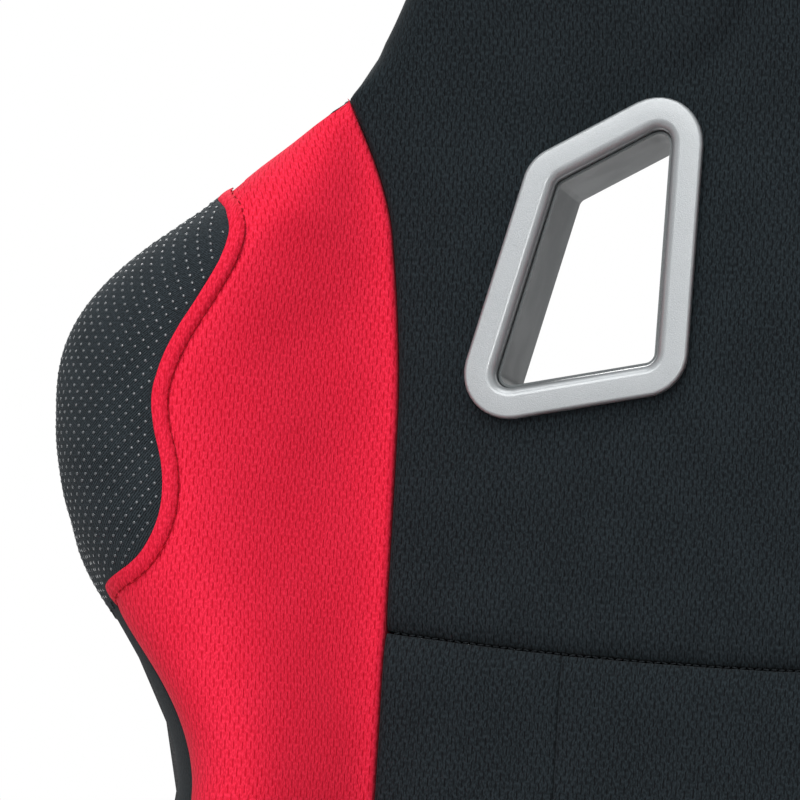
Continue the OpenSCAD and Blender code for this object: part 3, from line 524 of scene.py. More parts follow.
def lay_cloth(piece, places):
    """Fills the UV map named cloth with each vertex's place on the cloth, given in mm."""
    mesh = piece.data
    corners = np.empty(len(mesh.loops), np.int32)
    mesh.loops.foreach_get("vertex_index", corners)
    layer = mesh.uv_layers.new(name="cloth")
    layer.data.foreach_set("uv", (places / 1000)[corners].reshape(-1))


def slab(name, front, back, cloth, finish, keep=None):
    """A closed pad between two grids of points; cloth is each point's place on the cloth, in mm.

    keep says which cells of the grid stay, so that a panel can have holes.
    """
    rows, cols = front.shape[:2]
    keep = np.ones((rows - 1, cols - 1), bool) if keep is None else keep
    index = np.arange(rows * cols).reshape(rows, cols)
    a, b, c, d = index[:-1, :-1], index[:-1, 1:], index[1:, 1:], index[1:, :-1]
    other = rows * cols
    faces = [np.stack([a, b, c, d], -1)[keep], np.stack([d, c, b, a], -1)[keep] + other]
    ring = np.pad(keep, 1)
    for first, second, beyond in ((a, b, ring[:-2, 1:-1]), (b, c, ring[1:-1, 2:]),
                                  (c, d, ring[2:, 1:-1]), (d, a, ring[1:-1, :-2])):
        open_edge = keep & ~beyond
        p, q = first[open_edge], second[open_edge]
        faces.append(np.stack([q, p, p + other, q + other], -1))
    faces = np.concatenate(faces)
    points = np.concatenate([front.reshape(-1, 3), back.reshape(-1, 3)])
    depth = np.linalg.norm(front - back, axis=-1) * 1000
    behind = np.array(cloth, float)
    behind[:, 0, 0] -= depth[:, 0]
    behind[:, -1, 0] += depth[:, -1]
    behind[0, :, 1] -= depth[0]
    behind[-1, :, 1] += depth[-1]
    places = np.concatenate([cloth.reshape(-1, 2), behind.reshape(-1, 2)])
    used, faces = np.unique(faces, return_inverse=True)
    faces = faces.reshape(-1, 4)
    points, places = points[used], places[used]
    p, q, r, s = (points[faces[:, i]] for i in range(4))
    volume = (np.einsum("ij,ij->i", p, np.cross(q, r)) + np.einsum("ij,ij->i", p, np.cross(r, s))).sum() / 6
    if volume < 0:
        faces = faces[:, ::-1]
    piece = new_piece(name, points.tolist(), faces.tolist(), finish, turn_out=False)
    lay_cloth(piece, places)
    print(name, len(faces), "faces,", round(abs(volume) * 1e6), "cm3")
    return piece


def pair(a, b):
    """Two grids of places on the cloth as one grid of pairs."""
    return np.stack(np.broadcast_arrays(a, b), -1)


def way_over(x, n):
    """The way along a line, or along each row of a grid, from its first point, in mm."""
    way = np.cumsum(np.hypot(np.diff(x), np.diff(n)), -1)
    return np.concatenate([np.zeros((*way.shape[:-1], 1)), way], -1)


def over(x, n):
    """The way over the cloth along each row, in mm, with 0 at the row's middle."""
    run = way_over(x, n)
    return run - run[:, -1:] / 2


def place(piece, body, slot, *nodes, fill=None):
    """Lets a piece ride on its body and stand for nodes; slot is not used."""
    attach(piece, body)
    if nodes:
        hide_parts(*nodes)
    return piece


EDGE = [0, .3, .8, 1.5, 2.4, 3.6, 5.2, 7.5, 10.5]     # mm from a seam to each grid line beside it


def spread(low, high, count):
    """Grid places from low to high: close at both ends, and even between."""
    low, high = np.broadcast_arrays(np.asarray(low, float), np.asarray(high, float))
    edge = np.minimum(1, (high - low)[..., None] / (3 * EDGE[-1])) * np.array(EDGE)
    share = np.linspace(0, 1, count)[1:-1]
    inner = (low[..., None] + edge[..., -1:]) * (1 - share) + (high[..., None] - edge[..., -1:]) * share
    return np.concatenate([low[..., None] + edge, inner, (high[..., None] - edge)[..., ::-1]], -1)


# %% [markdown]
# ## The black middle of the backrest
#
# Five knit panels: one with the two harness slots, the head panel above it, and three lumbar
# panels below a deep seam that bows down to the middle. The cloth gathers a little along
# that seam, which shows as small puckers.

# %% Slot outline
SLOT = [(43.5, 449), (133.5, 431), (106, 534), (40, 571)]
SLOT_RADIUS = 17
HOLE_INSET = 8.5                     # mm from the bezel's outline to the cut in the cloth
UNDER_RIM = 35.8                     # mm forward, where the bezel's rim presses the cloth


def inside_slot(x, v):
    """How far a point lies inside the slot's outer outline, in mm, or below 0 outside it."""
    depth = np.full(np.broadcast(x, v).shape, 1e9)
    for (x0, v0), (x1, v1) in zip(SLOT, SLOT[1:] + SLOT[:1]):
        length = math.hypot(x1 - x0, v1 - v0)
        depth = np.minimum(depth, ((x1 - x0) * (v - v0) - (v1 - v0) * (np.abs(x) - x0)) / length)
    return depth


def centre(grid):
    """A grid's values at the middle of each cell."""
    return (grid[:-1, :-1] + grid[1:, 1:]) / 2


# %% The panel with the harness slots
SEAM_V, HEAD_V = 346.7, 612          # mm up to the lumbar seam, at its lowest, and to the head's seam
SEAM_HALF, SAG = 152.6, 8.2          # mm: half the lumbar seam's width, and its bow
FOLD = .4                            # mm from the lumbar seam's line to each panel


def seam_row(x, v, share):
    """Bends rows near the lumbar seam to its bow."""
    return v + share**3 * SAG * (x / SEAM_HALF) ** 2


rows = spread(SEAM_V + FOLD, HEAD_V - SEAM_GAP, 108)
v = rows[:, None]
x = spread(-panel_edge(rows) + SEAM_GAP, panel_edge(rows) - SEAM_GAP, 128)
share = (v - SEAM_V) / (HEAD_V - SEAM_V)
v_bent = seam_row(x, v, 1 - share)
beside = np.minimum(panel_edge(v) - SEAM_GAP - np.abs(x), 60)
neck = np.clip((v - 548) / 30, 0, 1)
neck = neck * neck * (3 - 2 * neck)     # 0 beside the wings and 1 in the neck, where the edge rolls far back
above = v - SEAM_V - FOLD
pucker = np.exp(-above / 9) * np.sin(x / 3.1 + 2 * np.sin(x / 17)) * .35
n = curve(MIDDLE, v_bent) + pucker + uneven(x, v, 95, .15)
n = n - roll(above, 9, 3.6) - 1.3 * np.exp(-above / 9) - roll(HEAD_V - SEAM_GAP - v, 5, 4)
n = n - roll(beside, 2.6 + 13 * neck, 2.8 + 18 * neck) - .6 * np.exp(-beside / 7) * (1 - neck)
to_slot = np.maximum(0, -inside_slot(x, v_bent))
pressed = UNDER_RIM + (n - UNDER_RIM) * (1 - np.exp(-(to_slot / 9) ** 2))
n = np.where(n > UNDER_RIM, pressed, n) - 1.0 * np.exp(-to_slot / 9)
upper = slab("upper_back_cover", on_back(x, n, v_bent), on_back(x, PAD_BACK, v_bent),
             pair(over(x, n), v_bent), black_knit, inside_slot(centre(x), centre(v_bent)) < HOLE_INSET)
place(upper, "backrest", "black_knit", "upper_back_pad", fill=.9)

# %% The head panel
rows = spread(HEAD_V + SEAM_GAP, TOP - 1, 50)
v = rows[:, None]
x = spread(-half_width(rows) + 1, half_width(rows) - 1, 90)
beside = half_width(v) - 1 - np.abs(x)
swelling = np.sin(math.pi * np.clip((v - HEAD_V) / (TOP - HEAD_V), 0, 1)) ** .7
n = curve(MIDDLE, v) + 5 * (1 - (x / half_width(v)) ** 2) * swelling
n = n + uneven(x, v, 80, .3) - roll(v - HEAD_V - SEAM_GAP, 7, 5)
n = n - roll(beside, 17, 19) - roll(TOP - 1 - v, 16, 13)
n = np.maximum(n, 13)
head = slab("head_cover", on_back(x, n, v), on_back(x, PAD_BACK, v), pair(over(x, n), v), black_knit)
place(head, "backrest", "black_knit", "head_pad", fill=.9)

# %% The lumbar panels
FOOT, SPLIT = -10, 85                # mm: the panels' foot, and the upright seams beside the middle
LUMBAR_BACK = 9                      # mm forward to the panels' underside


def lumbar_panel(name, left, right, count, crown, node):
    """One panel below the lumbar seam, between two upright seams."""
    rows = spread(FOOT, SEAM_V - FOLD, 120)
    v = rows[:, None]
    x = spread(left(rows), right(rows), count)
    share = (v - FOOT) / (SEAM_V - FOOT)
    v_bent = seam_row(x, v, share)
    low, high = left(rows)[:, None], right(rows)[:, None]
    below = SEAM_V - FOLD - v
    side = (x - low) * (high - x) / ((high - low) / 2) ** 2
    n = curve(MIDDLE, v_bent) + crown * side * np.clip(1 - (1 - share * 2) ** 4, 0, 1)
    pucker = np.exp(-below / 12) * np.sin(x / 3.6 + 1.5 * np.sin(x / 23) + 1) * .3
    n = n + 1.6 * np.exp(-((below - 16) / 14) ** 2) + pucker + uneven(x, v, 110, .3)
    n = n - roll(below, 9, 3.8) - roll(v - FOOT, 12, 14)
    for edge, inner in ((x - low, left is not leftmost), (high - x, right is not rightmost)):
        if inner:
            n = n - (roll(edge, .8, .4) + .45 * np.exp(-edge / 5))
        else:
            n = n - (roll(edge, 2.6, 3) + .6 * np.exp(-edge / 7))
    piece = slab(name, on_back(x, n, v_bent), on_back(x, LUMBAR_BACK, v_bent), pair(x, v_bent), black_knit)
    return place(piece, "backrest", "black_knit", node, fill=.9)


def leftmost(v): return -panel_edge(v) + SEAM_GAP
def rightmost(v): return panel_edge(v) - SEAM_GAP
def upright(x): return lambda v: 0 * v + x


lumbar_panel("lumbar_cover", upright(-SPLIT), upright(SPLIT), 70, 2, "lumbar_pad")
lumbar_panel("lumbar_side_cover_left", leftmost, upright(-SPLIT - .2), 30, 1.2, "lumbar_side_pad_left")
lumbar_panel("lumbar_side_cover_right", upright(SPLIT + .2), rightmost, 30, 1.2, "lumbar_side_pad_right")

# %% [markdown]
# ## The side wings
#
# Each wing is a foam roll: from the seam it rises over a crest, turns down its outer side and
# ends at the rear cover. The front is red knit and the outer side black. Every place on it is
# written as s, the way over the cloth from the crest, outwards, and v, up the backrest, so
# that the patch, its welt, its dots and the weave all follow the same surface.

# %% One table of points over a wing
CREST = 0.66                         # the crest's share of the way from the seam to the outer side
ACROSS_FRONT, ACROSS_SIDE = 52, 14   # grid lines between the close ones at the seams
RISING, FALLING = 90, 70             # points of a section up to the crest, and beyond it
WING_BACK = 9                        # mm forward to the wing's foot


def wing_section(v):
    """A fine line over the right wing at v: from its seam, over the crest, to the outer side."""
    a, b = float(curve(SEAM, v)) + .2, float(half_width(v) - curve(STRIP, v))
    b = max(b, a + .5)
    c = a + CREST * (b - a)
    base, high = float(curve(MIDDLE, v)), float(curve(RISE, v))
    s, t = np.linspace(0, 1, RISING), np.linspace(0, math.pi / 2, FALLING)[1:]
    x = np.concatenate([a + (c - a) * s, c + (b - c) * np.sin(t)])
    n = np.concatenate([base + high * (.5 - .5 * np.cos(math.pi * s**.85)),
                        base + high - .65 * abs(high) * (1 - np.cos(t))])
    way = way_over(x, n)
    return x, n, way - way[RISING - 1]


def side_section(x, n, v):
    """The outer side at v, from the front's outer end (x, n) to the lip of the rear cover."""
    t = np.linspace(0, 1, 40)
    foot_x, foot_n = float(half_width(v)) - 1, LIP
    bulge = 1.2 * np.sin(math.pi * t)
    return x + (foot_x - x) * t**.8 + bulge, n + (foot_n - n) * t


def sampled(stops, way, x, n, v):
    """Points (x, n, v) at some ways along a line."""
    return np.stack([np.interp(stops, way, x), np.interp(stops, way, n), np.full(len(stops), v)], -1)


wing_rows = spread(WING_FOOT, WING_TOP, 190)
front_way, front_points, side_way, side_points = [], [], [], []
for v in wing_rows:
    x, n, way = wing_section(v)
    stops = spread(way[0], way[-1], ACROSS_FRONT)
    end = min(1, (v - WING_FOOT) / 16)
    swell = .35 + .65 * math.sqrt(1 - (1 - end) ** 2)
    n = WING_BACK + (n - WING_BACK) * swell
    front_way.append(stops)
    front_points.append(sampled(stops, way, x, n, v))
    side_x, side_n = side_section(x[-1], n[-1], v)
    side_n = np.maximum(side_n, LIP)
    run = way_over(side_x, side_n)
    stops = spread(0, run[-1], ACROSS_SIDE)
    side_way.append(stops + way[-1])
    side_points.append(sampled(stops, run, side_x, side_n, v))
front_way, front_points = np.array(front_way), np.array(front_points)
side_way, side_points = np.array(side_way), np.array(side_points)
print("wing grid:", front_points.shape, "side:", side_points.shape)


def outward(points):
    """Unit directions out of a grid of points (x, n, v)."""
    out = np.cross(np.gradient(points, axis=0), np.gradient(points, axis=1))
    out = out / np.maximum(np.linalg.norm(out, axis=-1, keepdims=True), 1e-9)
    return out * np.sign(out[..., 1].sum() + out[..., 0].sum())


whole_points = np.concatenate([front_points, side_points[:, 1:]], 1)
whole_way = np.concatenate([front_way, side_way[:, 1:]], 1)
whole_out = outward(whole_points)


def between_rows(v):
    """The wing's row below v, and v's share of the way to the next row."""
    row = int(np.clip(np.searchsorted(wing_rows, v) - 1, 0, len(wing_rows) - 2))
    return row, (v - wing_rows[row]) / (wing_rows[row + 1] - wing_rows[row])


def on_wing(s, v, lift=0.0):
    """The place (x, n, v) on the right wing at a way s from the crest, and the direction out of it."""
    row, share = between_rows(v)
    found = []
    for table in (whole_points, whole_out):
        ends = [[np.interp(s, whole_way[r], table[r, :, k]) for k in range(3)] for r in (row, row + 1)]
        found.append(np.array(ends[0]) * (1 - share) + np.array(ends[1]) * share)
    out = found[1] / np.linalg.norm(found[1])
    return found[0] + out * lift, out


# %% [markdown]
# ## The patch's line
#
# The wear patch covers the shoulder from its crest outwards. Its inner edge is a sewn line
# with a welt, drawn as points (s, v) over the cloth, from the outer side over the front and
# back to the outer side. A signed distance from that line lowers the red cloth beside it and
# lifts the patch.

# %% The line round the patch
PATCH = [(98, 356), (60, 362), (38, 367), (24, 371), (15, 375), (8, 380.5), (2, 388), (-2, 396),
         (-4, 405), (-4, 414), (-2, 425), (-1, 436), (-3, 448), (-6, 460), (-8, 470), (-8, 480),
         (-6, 489), (-1, 498), (6, 504.5), (14, 509.5), (30, 515), (60, 523), (98, 528)]
PATCH_STEP = 1.5                     # mm between points of the smooth line


def way_through(points):
    """The way along a row of points, from the first one."""
    return np.concatenate([[0], np.cumsum(np.linalg.norm(np.diff(points, axis=0), axis=1))])


def smooth_line(points, gap):
    """Evenly spaced points along a smooth curve through the given ones."""
    p = np.array(points, float)
    p = np.concatenate([[2 * p[0] - p[1]], p, [2 * p[-1] - p[-2]]])
    t = np.linspace(0, 1, 12, endpoint=False)[:, None]
    runs = [.5 * (2 * b + (c - a) * t + (2 * a - 5 * b + 4 * c - d) * t**2 + (3 * b - a - 3 * c + d) * t**3)
            for a, b, c, d in zip(p, p[1:], p[2:], p[3:])]
    fine = np.concatenate(runs + [p[-2:-1]])
    way = way_through(fine)
    stops = np.arange(0, way[-1], gap)
    return np.stack([np.interp(stops, way, fine[:, k]) for k in range(fine.shape[1])], -1)


patch_line = smooth_line(PATCH, PATCH_STEP)


def inside_patch(s, v):
    """How far a place on the cloth lies inside the patch's line, in mm, or below 0 outside it."""
    spot = np.stack([s, v], -1)[..., None, :]
    a, b = patch_line[:-1], patch_line[1:]
    t = np.clip(((spot - a) * (b - a)).sum(-1) / ((b - a) ** 2).sum(-1), 0, 1)
    far = np.linalg.norm(spot - (a + (b - a) * t[..., None]), axis=-1).min(-1)
    crossing = (a[:, 1] > spot[..., 1]) != (b[:, 1] > spot[..., 1])
    climb = np.where(b[:, 1] == a[:, 1], 1e-9, b[:, 1] - a[:, 1])
    at = a[:, 0] + (spot[..., 1] - a[:, 1]) / climb * (b[:, 0] - a[:, 0])
    inside = (crossing & (at < spot[..., 0])).sum(-1) % 2 == 1
    return np.where(inside, far, -far)


front_in = inside_patch(front_way, front_points[..., 2])
side_in = inside_patch(side_way, side_points[..., 2])
print("patch line:", round(PATCH_STEP * len(patch_line)), "mm")

# %% [markdown]
# ## Red front, black side and patch of a wing
#
# The three covers share the wing's surface. The red one dives into the seam beside the black
# middle, and is pulled down in a narrow groove along the welt. Towards the wing's tip, where
# the foam runs out, the hills and rolls get smaller. The patch sits on top.

# %% The covers of both wings
WELT_WIDTH = 5.6                     # mm from the patch's line to the groove with the stitches
TIP_WIDTH = 4                        # mm: the covers end where the wing's tip gets narrower


def mirrored(points, sign):
    """Points (x, n, v) of the right wing, or of the left one when sign is -1, in metres."""
    return on_back(points[..., 0] * sign, points[..., 1], points[..., 2])


def wing_covers(side, sign):
    """The red front, black side and dotted patch of one wing; gives the patch's lift over the wing."""
    v, s = front_points[..., 2], front_way
    from_seam = s - s[:, :1]
    to_edge = s[:, -1:] - s
    out = outward(front_points)
    red = front_points.copy()
    beyond = -front_in - WELT_WIDTH
    groove = 1.2 * np.exp(-(beyond / 1.2) ** 2) + .8 * np.exp(-np.maximum(beyond, 0) / 5)
    hills = uneven(s + 40 * (sign > 0), v, 70, .35) * np.clip(from_seam / 20, 0, 1)
    near_top = np.clip((WING_TOP - v) / 10, .1, 1)
    red = red + out * ((hills - groove - roll(to_edge, 2.2, 1.6)) * near_top)[..., None]
    red[..., 1] -= (roll(from_seam, 2.6, 2.8) + .6 * np.exp(-from_seam / 7)) * near_top
    red[..., 1] -= 3.5 * np.clip((v - WING_TOP + 9) / 7, 0, 1) * np.exp(-from_seam / 6)
    back = front_points.copy()
    back[..., 1] = np.maximum(WING_BACK, red[..., 1] - 2 - np.maximum(WING_TOP - v, 0) * .6)
    back[..., 0] = front_points[:, :1, 0] + (front_points[..., 0] - front_points[:, :1, 0]) * .97
    from_middle = from_seam + front_points[:, :1, 0]
    wide = s[:, -1] - s[:, 0] > TIP_WIDTH
    cover = slab("wing_cover_" + side, mirrored(red[wide], sign), mirrored(back[wide], sign),
                 pair(from_middle[wide], v[wide]), red_knit)
    place(cover, "backrest", "red_knit", "back_wing_" + side, fill=.95)

    s, v = side_way, side_points[..., 2]
    out = outward(side_points)
    sunk = roll(s - s[:, :1], 2.2, 1.6) + roll(v - WING_FOOT, 5, 3)
    sunk = sunk + np.clip((v - WING_TOP + 20) / 14, 0, 1)
    flank = side_points - out * sunk[..., None]
    lining = side_points - [5, 3, 0] * np.clip((WING_TOP - v) / 60, .05, 1)[..., None]
    lining[..., 1] = np.maximum(lining[..., 1], LIP - .5)
    flank[..., 1] = np.maximum(flank[..., 1], LIP - .3)
    cover = slab("wing_side_" + side, mirrored(flank[wide], sign), mirrored(lining[wide], sign),
                 pair(s[wide], v[wide]), black_knit)
    place(cover, "backrest", "black_knit", "back_wing_" + side, fill=.9)

    whole_in = np.concatenate([front_in, side_in[:, 1:]], 1)
    to_lip = whole_way[:, -1:] - whole_way
    lift = .5 + 2.0 * np.clip(whole_in / 22, 0, 1) ** .7
    lift = lift + uneven(whole_way, whole_points[..., 2], 60, .3) * np.clip(whole_in / 12, 0, 1)
    lift = np.minimum(lift, .35 + to_lip * .12)
    keep = centre(whole_in) > -1.6
    patch = slab("patch_cover_" + side, mirrored(whole_points + whole_out * lift[..., None], sign),
                 mirrored(whole_points + whole_out * (lift[..., None] - 1.4), sign),
                 pair(whole_way, whole_points[..., 2]), dotted_fabric, keep)
    place(patch, "backrest", "dotted_fabric", "shoulder_patch_" + side, fill=.9)
    return lift


for side, sign in SIDES:
    patch_lift = wing_covers(side, sign)

# %% [markdown]
# ## The welt and its stitches
#
# The red cloth is folded over the patch's edge and sewn down: a soft band 6 mm wide, and on
# its inner side a row of short stitches sunk in the groove. The band is one section of
# points carried along the line, square to it. Where the line turns over the edge of the
# front, the red band ends, and a thin flat edging in black knit goes on along the side.

# %% The welt of each patch
WELT = [(6, -1.4), (5.3, -.9), (4.8, -.1), (4, .5), (2.9, .85), (1.7, .95), (.7, .9), (0, .7),
        (-.3, .3), (0, -.3), (3, -1.4)]     # mm away from the patch, and out


def along_line(line):
    """For each point of a line on the cloth: its place, the way along, the way across and out."""
    seat = [on_wing(s, v) for s, v in line]
    places = np.array([p for p, _ in seat])
    out = np.array([o for _, o in seat])
    along = np.gradient(places, axis=0)
    along /= np.linalg.norm(along, axis=1, keepdims=True)
    beside = np.cross(out, along)
    beside /= np.linalg.norm(beside, axis=1, keepdims=True)
    return places, along, beside, out


front_end = np.array([np.interp(v, wing_rows, front_way[:, -1]) for v in patch_line[:, 1]])
at_side = front_end - patch_line[:, 0]
in_front = np.flatnonzero(at_side > .8)
first_red, last_red = in_front[0], in_front[-1]
high = np.clip(at_side / 14, .12, 1)
wide = np.clip(at_side / 3, .35, 1)
places, along, beside, out = along_line(patch_line)
beside *= -np.sign(beside[len(beside) // 2, 0])
print("welt runs over", len(places), "sections")


def tube_piece(name, rings, sign, finish):
    """The closed tube through rings of points (x, n, v), mirrored when sign is -1."""
    count, around = rings.shape[:2]
    index = np.arange(count * around).reshape(count, around)
    a, b = index[:-1], index[1:]
    faces = np.stack([a, np.roll(a, -1, 1), np.roll(b, -1, 1), b], -1).reshape(-1, 4).tolist()
    faces += [index[0, ::-1].tolist(), index[-1].tolist()]
    piece = new_piece(name, mirrored(rings, sign).reshape(-1, 3).tolist(), faces, finish)
    lay_cloth(piece, rings[..., [0, 2]].reshape(-1, 2))
    return piece


section = np.array(WELT)
rings = places[:, None] + beside[:, None] * section[None, :, :1] * wide[:, None, None]
rings = rings + out[:, None] * section[None, :, 1:] * high[:, None, None]
for side, sign in SIDES:
    welt = tube_piece("patch_welt_" + side, rings[first_red:last_red + 1], sign, red_welt)
    place(welt, "backrest", "red_knit", "shoulder_patch_" + side, fill=.9)
    for end, run in (("lower", slice(None, first_red + 1)), ("upper", slice(last_red, None))):
        edging = tube_piece("patch_edging_" + end + "_" + side, rings[run], sign, black_knit)
        place(edging, "backrest", "black_knit", "shoulder_patch_" + side, fill=.9)

# %% Stitches in the groove
def many(name, shape_points, shape_faces, frames, finish):
    """One mesh of a small shape repeated, once in each frame of (origin, three directions)."""
    frames = np.array(frames)
    points = frames[:, :1] + np.einsum("pk,fkc->fpc", shape_points, frames[:, 1:])
    count = len(shape_points)
    faces = [[i + k * count for i in face] for k in range(len(frames)) for face in shape_faces]
    piece = new_piece(name, points.reshape(-1, 3).tolist(), faces, finish)
    print(name, len(frames), "times")
    return piece


def ring_faces(start, bands, around):
    """The faces of a number of bands between rings of points, which are numbered from start."""
    corners = [(start + r * around, start + (r + 1) * around) for r in range(bands)]
    return [[low + k, low + (k + 1) % around, top + (k + 1) % around, top + k]
            for low, top in corners for k in range(around)]


def capsule(length, radius, around=6):
    """A short thread along the first axis, thin at its two ends."""
    points = [[-length / 2, 0, 0]]
    for share, thick in ((-.42, .6), (-.2, 1), (.2, 1), (.42, .6)):
        for k in range(around):
            turn = 2 * math.pi * k / around
            points.append([share * length, radius * thick * math.cos(turn), radius * thick * math.sin(turn)])
    points.append([length / 2, 0, 0])
    last = len(points) - 1
    faces = [[0, 1 + (k + 1) % around, 1 + k] for k in range(around)]
    faces += ring_faces(1, 3, around)
    faces += [[last, last - around + k, last - around + (k + 1) % around] for k in range(around)]
    return np.array(points), faces


def world_frame(spot, first, second, third, sign):
    """A frame of the back as (origin, three directions) in metres, for lengths in mm."""
    flip = np.array([sign, 1, 1])
    origin = on_back(*(spot * flip))
    ends = [on_back(*((spot + way) * flip)) - origin for way in (first, second, third)]
    return [origin, *ends]


STITCH_EVERY = 3                     # points of the patch's line
thread_points, thread_faces = capsule(2.9, .28)
for side, sign in SIDES:
    frames = []
    for i in range(first_red + 2, last_red - 1, STITCH_EVERY):
        spot = places[i] + beside[i] * (WELT_WIDTH + .1) - out[i] * .7
        frames.append(world_frame(spot, along[i], beside[i], out[i], sign))
    stitches = many("patch_stitches_" + side, thread_points, thread_faces, frames, red_thread)
    place(stitches, "backrest", "red_knit", "shoulder_patch_" + side)

# %% Stitches in the lumbar seam
seam_x = np.arange(-148, 149, 2.9)
seam_v = SEAM_V + SAG * (seam_x / SEAM_HALF) ** 2
seam_n = curve(MIDDLE, seam_v) - 3.4
thread_points, thread_faces = capsule(2.5, .34)
frames = []
for x, v, n in zip(seam_x, seam_v, seam_n):
    slope = 2 * SAG * x / SEAM_HALF**2 + .25 * math.sin(x * 5.3)     # no stitch lies quite straight
    way = np.array([1, 0, slope]) / math.hypot(1, slope)
    square = np.array([-way[2], 0, way[0]])
    frames.append(world_frame(np.array([x, n, v]), way, square, np.array([0, 1, 0]), 1))
stitches = many("lumbar_stitches", thread_points, thread_faces, frames, black_thread)
place(stitches, "backrest", "black_knit", "upper_back_pad")

# %% [markdown]
# ## The dots
#
# The dots stand on a square lattice, turned by about half a right angle, 3.5 mm apart. One
# low dome is made once, with a few dozen faces, and repeated inside the welt. No two dots tip
# quite the same way, so their glints differ, and they get lower towards the outer side.

# %% Domes on the patch
def dome(radius, height, around=8):
    """A low round button on its foot, with its flattish top along the third axis."""
    points, faces = [], []
    levels = ((1, -.4), (1, .2), (.86, .72), (.6, .94))
    turns = [2 * math.pi * k / around for k in range(around)]
    for share, rise in levels:
        points += [[radius * share * math.cos(turn), radius * share * math.sin(turn), rise * height]
                   for turn in turns]
    points.append([0, 0, height])
    faces += ring_faces(0, len(levels) - 1, around)
    last = (len(levels) - 1) * around
    faces += [[last + k, last + (k + 1) % around, last + around] for k in range(around)]
    faces.append(list(range(around))[::-1])
    return np.array(points), faces


PITCH, TURN = 3.5, math.radians(47)
LATTICE_S, LATTICE_V = 40, 437       # mm, the lattice's middle on the cloth
DOT_RADIUS, DOT_HEIGHT = .66, .42
steps = np.arange(-60, 61)
i, j = np.meshgrid(steps, steps)
dot_s = LATTICE_S + PITCH * (i * math.cos(TURN) - j * math.sin(TURN)).reshape(-1)
dot_v = LATTICE_V + PITCH * (i * math.sin(TURN) + j * math.cos(TURN)).reshape(-1)
near = (dot_s > -20) & (dot_s < 120) & (dot_v > 350) & (dot_v < 525)
dot_s, dot_v = dot_s[near], dot_v[near]
deep = inside_patch(dot_s, dot_v)
limit = np.array([np.interp(v, wing_rows, whole_way[:, -1]) for v in dot_v])
on_patch = (deep > 1.6) & (dot_s < limit - 5)
dot_places = []
for s, v in zip(dot_s[on_patch], dot_v[on_patch]):
    row, share = between_rows(v)
    lift = [float(np.interp(s, whole_way[r], patch_lift[r])) for r in (row, row + 1)]
    dot_places.append((s, v, lift[0] * (1 - share) + lift[1] * share))
dome_points, dome_faces = dome(DOT_RADIUS, DOT_HEIGHT)
for side, sign in SIDES:
    frames = []
    for s, v, lift in dot_places:
        spot, up = on_wing(s, v, lift)
        up = up + .13 * np.sin([s * 7.1 + v * 3.7, s * 2.9 - v * 5.3, s + v])
        up /= np.linalg.norm(up)
        height = 1 - .62 * float(np.clip((s - 22) / 14, 0, 1))
        first = np.cross([0, 0, 1.0], up)
        first /= np.linalg.norm(first)
        frames.append(world_frame(spot, first, np.cross(up, first), up * height, sign))
    dots = many("patch_dots_" + side, dome_points, dome_faces, frames, dot_rubber)
    place(dots, "backrest", "dotted_fabric", "shoulder_patch_" + side)

# %% [markdown]
# ## The harness bezels
#
# Each slot has a front bezel, whose flat rim rolls over into a throat, and a rear one, whose
# sleeve slides into that throat. They are modelled flat, as by hand: a plane's corners are
# moved to the slot's corners, rounded with a vertex bevel, and the rim is then inset and
# extruded. Loops that get a bevel later are kept as vertex groups. Weighted normals keep the
# flat rim flat beside its rolled edge.

# %% Helpers for operators
def only(piece):
    """Makes a piece the only selected and active one."""
    bpy.ops.object.select_all(action="DESELECT")
    piece.select_set(True)
    bpy.context.view_layer.objects.active = piece


def keep_loop(piece, name):
    """Keeps the selected vertices as a group; an extrusion has copied them into older groups."""
    if piece.vertex_groups:
        bpy.ops.object.vertex_group_remove_from(use_all_groups=True)
    bpy.ops.object.vertex_group_assign_new()
    piece.vertex_groups[-1].name = name


def pick_loops(piece, *names):
    """Selects the vertices that belong wholly to a kept group; those a bevel made belong in part."""
    bpy.ops.mesh.select_mode(type="VERT")
    bpy.ops.mesh.select_all(action="DESELECT")
    edit = bmesh.from_edit_mesh(piece.data)
    weights = edit.verts.layers.deform.active
    wanted = [piece.vertex_groups[name].index for name in names]
    for vert in edit.verts:
        if any(vert[weights].get(index, 0) > .999 for index in wanted):
            vert.select_set(True)
    edit.select_flush_mode()
    bmesh.update_edit_mesh(piece.data)
    bpy.ops.mesh.select_mode(type="EDGE")


def pick_face(piece, height, upward):
    """Selects the one big face at a height that looks up or down."""
    bpy.ops.mesh.select_mode(type="FACE")
    bpy.ops.mesh.select_all(action="DESELECT")
    edit = bmesh.from_edit_mesh(piece.data)
    for face in edit.faces:
        level = abs(face.calc_center_median().z - height) < 1e-5
        if level and len(face.verts) > 8 and (face.normal.z > .9) == upward:
            face.select_set(True)
    bmesh.update_edit_mesh(piece.data)


# %% A rounded slot plate, flat on the floor plane
ROUND_STEPS = 12


